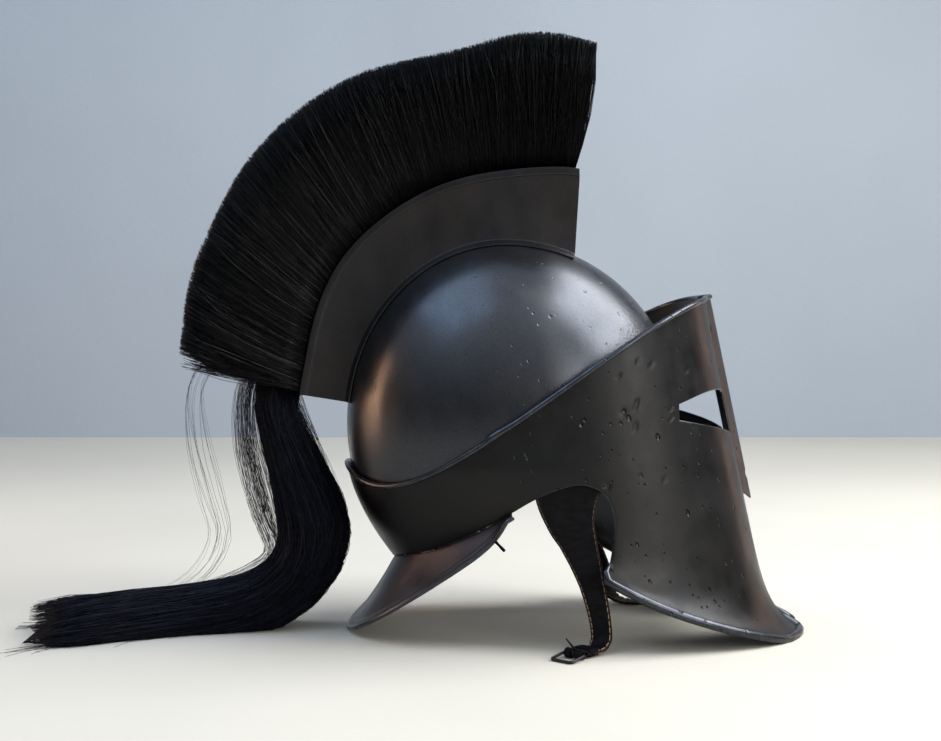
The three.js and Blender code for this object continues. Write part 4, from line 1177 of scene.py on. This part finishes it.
@dataclass
class PlumeTail:
    """The long horsehair tail, hanging behind and laid along the floor."""

    rows: tuple = (
        (-140.2, 0, 180.8, 14, 15), (-145.5, 0, 165, 18, 19), (-141, 0, 148, 21, 21), (-133, 0, 128, 25, 23),
        (-126, 0, 108, 26, 24), (-119, 0, 88, 24, 25), (-116, -1, 70, 23, 26), (-121, -2, 50, 23, 27),
        (-136, -3, 31, 23, 29), (-160, -4, 17, 22, 31), (-198, -6, 10, 22, 33), (-236, -14, 7, 22, 36),
        (-272, -25, 5.5, 21, 40), (-299, -36, 5, 19, 42), (-313, -42, 5, 14, 38))
    wisp: tuple = ((-154, 0, 200), (-162, 0, 172), (-161, 0, 139), (-155, 0, 112), (-147, 0, 84), (-139, -1, 62),
                   (-143, -2, 47), (-163, -3, 34), (-195, -5, 24), (-235, -12, 19), (-275, -24, 16))
    hem: tuple = ((-132, 0, 188), (-129, 0, 165), (-120, 0, 142), (-108, 0, 114), (-100, 0, 88), (-96, -1, 66),
                  (-101, -2, 46), (-114, -3, 26), (-137, -4, 9), (-170, -5, 4))
    far: tuple = ((-190, 0, 206), (-208, 2, 180), (-208, 3, 139), (-197, 3, 95), (-190, 2, 66), (-206, 0, 38),
                  (-240, -6, 22), (-268, -10, 18))
    roots: tuple = ((-145, 0, 199, 17, 12), (-142.5, 0, 189, 15, 13))
    strands: int = 1620
    steps: int = 16
    width: float = 0.2

    def frames(self, path: Spline, t: Array) -> tuple:
        """Returns the points, sideways and upward directions of a path at shares t."""
        along = path.along(t)
        side = np.array([0.0, 1.0, 0.0])
        across = unit(side - along * along[..., 1:2])
        return path.at(t), across, np.cross(across, along)

    def sizes(self, t: Array) -> tuple:
        """Returns the tail's half depth and half width at shares t of its hair."""
        rows = np.array(self.roots + self.rows)
        at = np.asarray(t) * (len(rows) - 1)
        numbers = np.arange(len(rows))
        return np.interp(at, numbers, rows[:, 3]), np.interp(at, numbers, rows[:, 4])

    def core(self) -> Shape:
        """Returns the dark mass inside the tail."""
        path = Spline([r[:3] for r in self.roots + self.rows])
        t = np.linspace(0.05, 0.975, 130)
        p, across, up = self.frames(path, t)
        deep, wide = self.sizes(t)
        angle = np.linspace(0, 2 * np.pi, 64, endpoint=False)
        lock = 0.9 + 0.04 * np.sin(8 * angle + 5 * t[:, None]) + 0.03 * np.sin(19 * angle - 7 * t[:, None])
        lock = lock * np.sqrt(1 - 0.985 * smoothstep(t, 0.9, 0.975) ** 2)[:, None]
        rings = p[:, None] + across[:, None] * (np.cos(angle) * wide[:, None] * lock)[..., None]
        rings = rings + up[:, None] * (np.sin(angle) * deep[:, None] * lock)[..., None]
        rings[..., 2] = np.maximum(rings[..., 2], 0.1)
        shape = loft(rings)
        shape.marks = {"strand": np.full(len(shape.corners), 0.1)}
        return shape

    def hair(self, seed: int) -> Shape:
        """Returns one sheaf of strands round the dark mass."""
        rng = np.random.default_rng(seed)
        n = self.strands
        path = Spline([r[:3] for r in self.roots + self.rows])
        start = rng.uniform(0.0, 0.08, n)
        end = np.clip(rng.normal(0.978, 0.03, n), 0.6, 1.012)
        t = lerp(start[:, None], end[:, None], np.linspace(0, 1, self.steps)[None])
        p, across, up = self.frames(path, t)
        deep, wide = self.sizes(t)
        clump = np.floor(rng.random(n) * 90)
        angle = (clump + rng.normal(0.5, 0.5, n)) / 90 * 2 * np.pi
        angle = angle[:, None] + rng.normal(0, 0.22, n)[:, None] * np.sin(3 * t + seed)
        angle = angle + 0.05 * np.sin(7 * t + clump[:, None])
        rho = rng.uniform(0.9, 1.03, n)[:, None] + 0.03 * np.sin(11 * t + clump[:, None])
        rho = rho + np.abs(rng.normal(0, 0.1, (n, 1))) * smoothstep(t, 0.86, 1)
        inner = rng.random(n) < 0.4
        rho = np.where(inner[:, None], lerp(rho, rng.uniform(0.1, 0.9, (n, 1)), smoothstep(t, 0.85, 0.97)), rho)
        paths = p + across * (np.cos(angle) * wide * rho)[..., None] + up * (
            np.sin(angle) * deep * rho)[..., None]
        paths[..., 2] = np.maximum(paths[..., 2], 0.3)
        thick = self.width * rng.uniform(0.7, 1.3, n)[:, None] * np.ones(self.steps)[None]
        thick[:, -1] *= 0.4
        return tubes(paths, thick, 3, seed)

    def loose(self, route: tuple, n: int, seed: int, spread: tuple, clumps: int, ends: tuple) -> Shape:
        """Returns strands that hang apart from the mass.

        Args:
            route: points of the path they follow.
            n: how many.
            seed: for their places.
            spread: how far they stray along X and Y.
            clumps: how many wisps they gather in.
            ends: the shares of the path where they may end.

        Returns:
            The strands.
        """
        rng = np.random.default_rng(seed)
        path = Spline(list(route))
        steps = 20
        start = rng.uniform(0, 0.04, n)
        end = rng.uniform(*ends, n)
        t = lerp(start[:, None], end[:, None], np.linspace(0, 1, steps)[None])
        centres = rng.uniform(-1, 1, (clumps, 2))
        clump = rng.integers(0, clumps, n)
        offset = centres[clump] * spread + rng.normal(0, 0.13, (n, 2)) * spread
        p, across, up = self.frames(path, t)
        drift = np.sin(4 * t + clump[:, None] * 2.1) * 1.6 + np.sin(9 * t + rng.random((n, 1)) * 6) * 1.6
        drift = drift * smoothstep(t, 0, 0.1)
        gather = 0.55 + 0.45 * np.sin(np.pi * np.clip(t * 1.25, 0, 1))
        paths = p + up * (offset[:, :1] * gather + drift)[..., None] + across * (
            offset[:, 1:] * gather)[..., None]
        paths[..., 2] = np.maximum(paths[..., 2], 0.3)
        thick = 0.11 * rng.uniform(0.7, 1.3, n)[:, None] * np.ones(steps)[None]
        thick[:, -1] *= 0.4
        return tubes(paths, thick, 3, seed)

    def strays(self) -> Shape:
        """Returns single hairs that lie on the floor round the tail's end."""
        rng = np.random.default_rng(73)
        n, steps = 150, 12
        path = Spline([r[:3] for r in self.roots + self.rows])
        t = rng.uniform(0.62, 0.98, n)
        p, across, _ = self.frames(path, t)
        _, wide = self.sizes(t)
        sign = rng.choice([-1, 1], n, p=[0.6, 0.4])
        start = p + across * (sign * wide * rng.uniform(0.6, 0.95, n))[:, None]
        along = path.along(t)
        lean = sign * rng.uniform(0.05, 0.5, n)
        heading = unit(along + across * lean[:, None])
        run = np.linspace(0, 1, steps)[None, :, None] * rng.uniform(14, 46, n)[:, None, None]
        turn = rng.normal(0, 0.35, n)[:, None, None] * (run / 30) ** 2
        side = np.cross(heading, [0.0, 0.0, 1.0])
        paths = start[:, None] + heading[:, None] * run + side[:, None] * turn * 8
        low = rng.uniform(0.3, 1.2, n)[:, None]
        paths[..., 2] = lerp(np.minimum(paths[..., 2], 14), low, smoothstep(run[..., 0], 0, 18))
        paths[..., 0] = np.maximum(paths[..., 0], -336)
        return tubes(paths, np.full(paths.shape[:2], 0.13), 3, 73)

    def build(self) -> None:
        """Makes the dark mass, two sheaves of strands and the loose wisps."""
        # The blue in the tail's colours is a painted reflection, standing in for the blue sheen of light on the glossy
        # black hair.
        hair = Hair("horsehair_tail", dark=(0.0011, 0.0012, 0.0022), light=(0.010, 0.0115, 0.021),
                    odd=(0.022, 0.022, 0.028)).material()
        self.core().piece("plume_tail_core", hair, Body.HELMET, Slot.HAIR, ("plume_tail",), 60)
        for k in range(2):
            self.hair(61 + k).piece(f"plume_tail_hair_{k + 1}", hair, Body.HELMET, Slot.HAIR, (), 180)
        wisps = [self.loose(self.wisp, 210, 71, (14, 15), 64, (0.4, 1.0)),
                 self.loose(self.hem, 80, 74, (4, 15), 30, (0.5, 1.0)),
                 self.loose(self.far, 15, 72, (12, 9), 9, (0.6, 1.0)), self.strays()]
        joined(wisps).piece("plume_tail_wisps", hair, Body.HELMET, Slot.HAIR, (), 180)


@dataclass
class ChinStrap:
    """A leather strap that hangs from inside the band, with a stitched edge."""

    side: Side
    rows: tuple
    steps: int
    stitched_from: float
    thick: float = 2.0
    inset: float = 1.35

    def sections(self, t: Array) -> tuple:
        """Returns the middles, width directions, outward directions and half widths at shares t."""
        rows = np.array(self.rows, float)
        path = Spline(rows[:, :3])
        middle = path.at(t)
        along = path.along(t)
        a, b = rows[:-1, :3], rows[1:, :3]
        share = ((middle[:, None] - a) * (b - a)).sum(-1) / ((b - a) ** 2).sum(-1)
        share = np.clip(share, 0, 1)
        away = np.linalg.norm(lerp(a, b, share[..., None]) - middle[:, None], axis=-1)
        best = away.argmin(1)
        s = share[np.arange(len(t)), best][:, None]
        row = lerp(rows[best], rows[best + 1], s)
        across = np.stack([row[:, 4], row[:, 5], np.zeros(len(t))], -1)
        across = unit(across - along * (across * along).sum(-1, keepdims=True))
        return middle, across, np.cross(along, across), row[:, 3] / 2

    def band(self) -> Shape:
        """Returns the leather."""
        t = np.linspace(0, 1, self.steps + 1)
        middle, across, out, half = self.sections(t)
        h = self.thick / 2
        w = np.concatenate([np.linspace(-1, 1, 15), np.linspace(1, -1, 15)])
        edge = np.abs(w)
        f = np.where(np.arange(30) < 15, -1, 1) * np.where(edge > 0.999, 0.55, 1.0)
        ww = w[None] * half[:, None]
        ww = np.where(edge > 0.999, ww, np.sign(ww) * np.minimum(np.abs(ww), half[:, None] - 0.5))
        groove = 0.22 * np.exp(-(((half[:, None] - np.abs(ww) - self.inset) / 0.6) ** 2))
        height = f[None] * (h - groove)
        rings = middle[:, None] + across[:, None] * ww[..., None] + out[:, None] * height[..., None]
        rings[..., 2] = np.maximum(rings[..., 2], 0.05)
        shape = loft(rings)
        shape.marks = {"edge": np.tile((edge > 0.999) * 1.0, len(t))}
        return shape

    def stitches(self) -> Shape:
        """Returns the two rows of thread."""
        length = Spline([r[:3] for r in self.rows]).length
        starts = np.arange(self.stitched_from * length, length - 12, 4.6)
        paths = []
        for s in starts:
            t = (s + np.linspace(0, 3.4, 5)) / length
            middle, across, out, half = self.sections(t)
            lift = np.array([-0.4, 0.22, 0.34, 0.22, -0.4])[:, None]
            for edge in (-1, 1):
                for face in (-1, 1):
                    lie = middle + across * (edge * (half - self.inset))[:, None] + out * face * (
                        self.thick / 2 + lift)
                    paths.append(lie)
        paths = np.array(paths)
        paths[..., 2] = np.maximum(paths[..., 2], 0.3)
        shape = tubes(paths, np.full(paths.shape[:2], 0.34), 6, 3)
        low = np.repeat(np.linspace(0, 1, len(starts)), 4)
        shape.marks = {"strand": np.repeat(low, len(shape.corners) // len(low))}
        return shape

    def build(self) -> None:
        """Makes the strap and its thread."""
        name = f"chin_strap_{self.side.name.lower()}"
        leather = Leather(name + "_leather").material()
        self.band().piece(name + "_sewn", leather, Body.HELMET, Slot.LEATHER, (name,), 50)
        self.stitches().piece(name + "_thread", Thread(name + "_tan").material(), Body.HELMET,
                              Slot.LEATHER, (), 60)


@dataclass
class Buckle:
    """The wire frame at the right strap's end, its prong and the strap's folded end."""

    at: tuple = (71.2, -111.6, 3.85)
    turn: float = -132.0
    droop: float = 9.6
    length: float = 17.5
    width: float = 20.0
    wire: float = 2.2
    prong: float = 15.6
    raised: float = 60.0

    def placed(self, points: Array, tilt: float = 0.0) -> Array:
        """Returns points of the buckle's own place, tilted about the bar, in the helmet's place."""
        a, b = math.radians(tilt), math.radians(self.turn)
        p = np.asarray(points, float)
        x = p[..., 0] * math.cos(a) + p[..., 2] * math.sin(a)
        z = -p[..., 0] * math.sin(a) + p[..., 2] * math.cos(a)
        return np.stack([x * math.cos(b) - p[..., 1] * math.sin(b), x * math.sin(b) + p[..., 1] * math.cos(b), z],
                        -1) + self.at

    def ring(self, path: Array, radius: float, sides: int = 12) -> Shape:
        """Returns a closed loop of round wire along a flat path."""
        along = unit(np.roll(path, -1, 0) - np.roll(path, 1, 0))
        up = np.array([0.0, 0.0, 1.0])
        out = np.cross(along, up)
        angle = np.linspace(0, 2 * np.pi, sides, endpoint=False)
        rings = path[:, None] + radius * (np.cos(angle)[:, None] * out[:, None] + np.sin(angle)[:, None] * up)
        n = len(path)
        i, j = np.meshgrid(np.arange(n), np.arange(sides), indexing="ij")
        k, m = (j + 1) % sides, (i + 1) % n
        quads = np.stack([i * sides + j, i * sides + k, m * sides + k, m * sides + j], -1).reshape(-1, 4)
        return Shape(rings.reshape(-1, 3), [*map(tuple, quads.tolist())], {"roll": np.zeros(n * sides)})

    def frame_wire(self) -> Shape:
        """Returns the frame."""
        half_l, half_w, r = (self.length - self.wire) / 2, (self.width - self.wire) / 2, 2.6
        path = []
        for cx, cy, start in ((1, 1, 0), (-1, 1, 90), (-1, -1, 180), (1, -1, 270)):
            for a in np.radians(np.linspace(start, start + 90, 9)):
                path.append((cx * (half_l - r) + r * math.cos(a), cy * (half_w - r) + r * math.sin(a), 0))
        shape = self.ring(np.array(path) + (half_l, 0, 0), self.wire / 2)
        shape.corners = self.placed(shape.corners, self.droop)
        return shape

    def pin(self) -> Shape:
        """Returns the prong: an eye round the bar and a bent tapering pin."""
        eye = np.linspace(-0.75 * np.pi, 0.98 * np.pi, 22)
        loop = np.stack([-2.45 * np.cos(eye) * 1.0, 0 * eye, -2.45 * np.sin(eye)], -1)[::-1]
        pin = np.stack([np.linspace(2.6, self.prong, 12), np.zeros(12),
                        1.3 - 1.3 * np.linspace(0, 1, 12) ** 1.5], -1)
        path = np.vstack([loop[:-2], pin])
        size = np.concatenate([np.full(len(loop) - 2, 0.62), np.linspace(0.95, 0.55, 12)])
        size[-1] = 0.2
        shape = tubes(path[None], size[None], 10)
        shape.marks = {"roll": np.zeros(len(shape.corners))}
        shape.corners = self.placed(shape.corners, self.droop - self.raised)
        return shape

    def fold(self) -> Shape:
        """Returns the strap's end: its fold round the bar in two halves, with a slot between them."""
        shapes = []
        for low, high in ((-7.0, -2.3), (2.3, 7.0)):
            a = np.linspace(-0.82 * np.pi, 0.82 * np.pi, 30)
            outer = np.stack([3.6 * np.cos(a), 3.55 * np.sin(a)], -1)
            inner = np.stack([1.95 * np.cos(a[::-1]), 1.95 * np.sin(a[::-1])], -1)
            outer = np.vstack([(-8, -1.8), outer, (-8, 1.8)])
            inner = np.vstack([(-8, 0.1), inner, (-8, -0.1)])
            flat = np.vstack([outer, inner])
            rings = [np.stack([flat[:, 0], np.full(len(flat), y), flat[:, 1]], -1)
                     for y in np.linspace(low, high, 5)]
            shapes.append(loft(np.array(rings)))
        for k in range(5):
            x = -7.4 - 1.9 * k
            a = np.linspace(0, 2 * np.pi, 28, endpoint=False)
            path = np.stack([x + 0 * a, 8.1 * np.cos(a), 2.5 * np.sin(a)], -1)
            wide = np.abs(np.cos(a)) ** 0.4 * np.sign(np.cos(a))
            tall = np.abs(np.sin(a)) ** 0.4 * np.sign(np.sin(a))
            path = np.stack([path[:, 0], 7.9 * wide, 2.3 * tall], -1)
            n = np.stack([0 * a, wide, tall], -1)
            b = np.linspace(0, 2 * np.pi, 8, endpoint=False)
            rings = path[:, None] + 0.75 * (
                np.cos(b)[:, None] * unit(n)[:, None] + np.sin(b)[:, None] * np.array([1.0, 0, 0]))
            i, j = np.meshgrid(np.arange(28), np.arange(8), indexing="ij")
            q, m = (j + 1) % 8, (i + 1) % 28
            quads = np.stack([i * 8 + j, i * 8 + q, m * 8 + q, m * 8 + j], -1).reshape(-1, 4)
            loop = Shape(rings.reshape(-1, 3), [*map(tuple, quads.tolist())])
            if loop.volume() < 0:
                loop.faces = [tuple(reversed(f)) for f in loop.faces]
            shapes.append(loop)
        for s in shapes:
            if s.volume() < 0:
                s.faces = [tuple(reversed(f)) for f in s.faces]
            s.marks = {"edge": np.zeros(len(s.corners))}
        shape = joined(shapes)
        shape.corners = self.placed(shape.corners)
        shape.corners[:, 2] = np.maximum(shape.corners[:, 2], 0.05)
        return shape

    def build(self) -> None:
        """Makes the frame, the prong and the fold."""
        enamel = Steel("buckle_enamel", dark=(0.006, 0.006, 0.0065), warm=(0.009, 0.0085, 0.008), metallic=0.5,
                       rough=(0.28, 0.4), wear_and_glint=0.0).material()
        self.frame_wire().piece("buckle_frame_wire", enamel, Body.HELMET, Slot.BUCKLE, ("buckle_frame",), 60)
        self.pin().piece("buckle_prong_pin", enamel, Body.PRONG, Slot.BUCKLE, ("buckle_prong",), 60)
        leather = Leather("strap_fold_leather").material()
        self.fold().piece("strap_fold_and_keeper", leather, Body.HELMET, Slot.LEATHER, (), 40)


@dataclass
class Lace:
    """The short end of lace under the neck guard."""

    route: tuple = ((6, -78.5, 89), (12, -82.3, 82), (18, -86.4, 76), (23.6, -89.8, 70.6))

    def build(self) -> None:
        """Makes the lace."""
        path = Spline(list(self.route)).at(np.linspace(0, 1, 24))
        size = 1.05 + 0.12 * np.sin(np.linspace(0, 22, 24))
        shape = tubes(path[None], size[None], 12)
        shape.marks = {"edge": np.zeros(len(shape.corners))}
        shape.piece("lace_end_cord", Leather("lace_leather").material(), Body.HELMET, Slot.LEATHER,
                    ("lace_end",), 60)


# ---- the studio ----

@dataclass
class Studio:
    """The floor, the backdrop, the soft lights and the camera."""

    lens: float = 64.6
    pitch: float = 3.19
    distance: float = 1250.0
    height: float = 260.5
    wall: float = 1480.0
    zenith: tuple = (0.95, 1.06, 1.22)
    horizon: tuple = (0.12, 0.12, 0.125)

    def light(self, name: str, toward: tuple, away: float, size: tuple, power: float, colour: tuple) -> None:
        """Adds a soft rectangular light that faces the skull.

        Args:
            name: its name.
            toward: its direction from the skull.
            away: its distance in metres.
            size: its width and height in metres.
            power: its power in watts.
            colour: its colour.
        """
        data = bpy.data.lights.new(name, "AREA")
        data.shape = "RECTANGLE"
        data.size, data.size_y = size
        data.energy = power
        data.color = colour
        obj = bpy.data.objects.new(name, data)
        middle = Vector(((SHIFT + (FORM.head[0], 0, FORM.head[1])) * MM).tolist())
        direction = Vector(toward).normalized()
        obj.location = middle + direction * away
        obj.rotation_euler = direction.to_track_quat("Z", "Y").to_euler()
        obj.visible_camera = False
        bpy.context.scene.collection.objects.link(obj)

    def sheet(self, name: str, corners: list, material: bpy.types.Material) -> bpy.types.Object:
        """Adds a flat stage sheet."""
        mesh = bpy.data.meshes.new(name)
        mesh.from_pydata([tuple(c) for c in corners], [], [(0, 1, 2, 3)])
        mesh.materials.append(material)
        obj = bpy.data.objects.new(name, mesh)
        bpy.context.scene.collection.objects.link(obj)
        return obj

    def world(self) -> None:
        """Lights the whole scene softly, more from above than from the sides."""
        world = bpy.data.worlds.new("studio")
        world.use_nodes = True
        nodes, links = world.node_tree.nodes, world.node_tree.links
        coords = nodes.new("ShaderNodeTexCoord")
        parts = nodes.new("ShaderNodeSeparateXYZ")
        ramp = nodes.new("ShaderNodeValToRGB")
        ramp.color_ramp.elements[0].position, ramp.color_ramp.elements[1].position = 0.15, 0.85
        ramp.color_ramp.elements[0].color = (*self.horizon, 1)
        ramp.color_ramp.elements[1].color = (*self.zenith, 1)
        links.new(coords.outputs["Generated"], parts.inputs[0])
        links.new(parts.outputs[2], ramp.inputs[0])
        links.new(ramp.outputs[0], nodes["Background"].inputs["Color"])
        bpy.context.scene.world = world

    def build(self) -> None:
        """Sets the stage, the lights and the camera."""
        x, y, _ = SHIFT * MM
        back = y + self.wall * MM
        self.sheet("floor", [(x - 6, y - 6, 0), (x + 6, y - 6, 0), (x + 6, y + 6, 0), (x - 6, y + 6, 0)],
                   Ground("pale_floor", (0.465, 0.43, 0.362), (0.42, 0.386, 0.325)).material())
        self.sheet("backdrop", [(x - 6, back, 0), (x + 6, back, 0), (x + 6, back, 3), (x - 6, back, 3)],
                   Ground("pale_backdrop", (0.315, 0.348, 0.385), (0.285, 0.315, 0.348)).material())
        self.light("key", (0.66, 0.0, 0.75), 1.5, (1.25, 0.95), 45, (0.95, 0.98, 1.0))
        self.light("key_low", (0.86, -0.28, 0.42), 1.5, (0.6, 0.6), 8, (0.97, 0.98, 1.0))
        self.light("top", (-0.45, -0.02, 0.89), 1.6, (1.9, 1.0), 16, (0.45, 0.68, 1.0))
        self.light("side", (0.65, -0.73, 0.2), 1.6, (0.45, 0.9), 9.5, (1.0, 0.98, 0.94))
        self.light("warm_left", (-0.97, 0.17, 0.14), 1.35, (0.3, 0.64), 6, (1.0, 0.58, 0.34))
        self.light("warm_right", (0.85, 0.5, 0.12), 1.4, (0.35, 0.8), 1.6, (1.0, 0.66, 0.52))
        self.world()
        data = bpy.data.cameras.new("camera")
        data.lens = self.lens
        data.sensor_width = 36
        data.clip_start = 0.01
        camera = bpy.data.objects.new("camera", data)
        camera.location = (x, y - self.distance * MM, self.height * MM)
        camera.rotation_euler = (math.radians(90 - self.pitch), 0, 0)
        bpy.context.scene.collection.objects.link(camera)
        bpy.context.scene.camera = camera
        bpy.context.scene.view_settings.view_transform = "Standard"


RIGHT_ROWS = (
    (68, -96.2, 134, 54, 1, 0.075), (67, -96, 120, 50, 1, 0.07), (66.5, -95, 107, 43, 1, 0.04),
    (69, -93.6, 92, 34, 1, 0), (74, -92.4, 78, 26.5, 1, -0.04), (79, -91.4, 64, 22, 1, -0.06),
    (84, -90.8, 48, 18, 1, -0.08), (88, -90.4, 32, 16, 1, -0.12), (90.3, -90.6, 19, 15, 1, -0.2),
    (90.6, -93, 9.5, 15, 0.95, -0.36), (87.4, -97.4, 4.6, 14.5, 0.85, -0.5), (82, -102, 3.4, 14, 0.74, -0.67),
    (75.6, -107.8, 3.6, 14, 0.74, -0.67))
LEFT_ROWS = (
    (68, 96.2, 134, 54, 1, -0.075), (67, 96, 120, 50, 1, -0.07), (67, 95, 107, 43, 1, -0.04),
    (71, 93.6, 92, 34, 1, 0), (78, 92.4, 76, 26, 1, 0.05), (86, 91, 60, 21, 1, 0.06),
    (96, 90, 44, 18, 1, 0.08), (104, 89, 28, 16, 0.95, 0.3), (109.5, 88, 15, 15, 0.8, 0.6),
    (114, 87, 6, 15, 0.5, 0.85), (121, 86, 2.1, 15, 0.3, 0.95), (130, 84.5, 1.4, 14, 0.25, 0.97),
    (138, 83, 1.4, 9, 0.25, 0.97))


def main() -> None:
    """Builds the studio and the helmet's pieces in order."""
    logging.basicConfig(level=logging.INFO, format="%(message)s")
    parts = [Studio(), Skull(), FacePlate(), NeckGuard(), CrestBox(), CrestBrush(), PlumeTail(),
             ChinStrap(Side.RIGHT, RIGHT_ROWS, 150, 0.1), ChinStrap(Side.LEFT, LEFT_ROWS, 160, 0.1), Buckle(), Lace()]
    for part in parts:
        LOG.info("building %s", type(part).__name__)
        part.build()


if __name__ == "__main__":
    main()
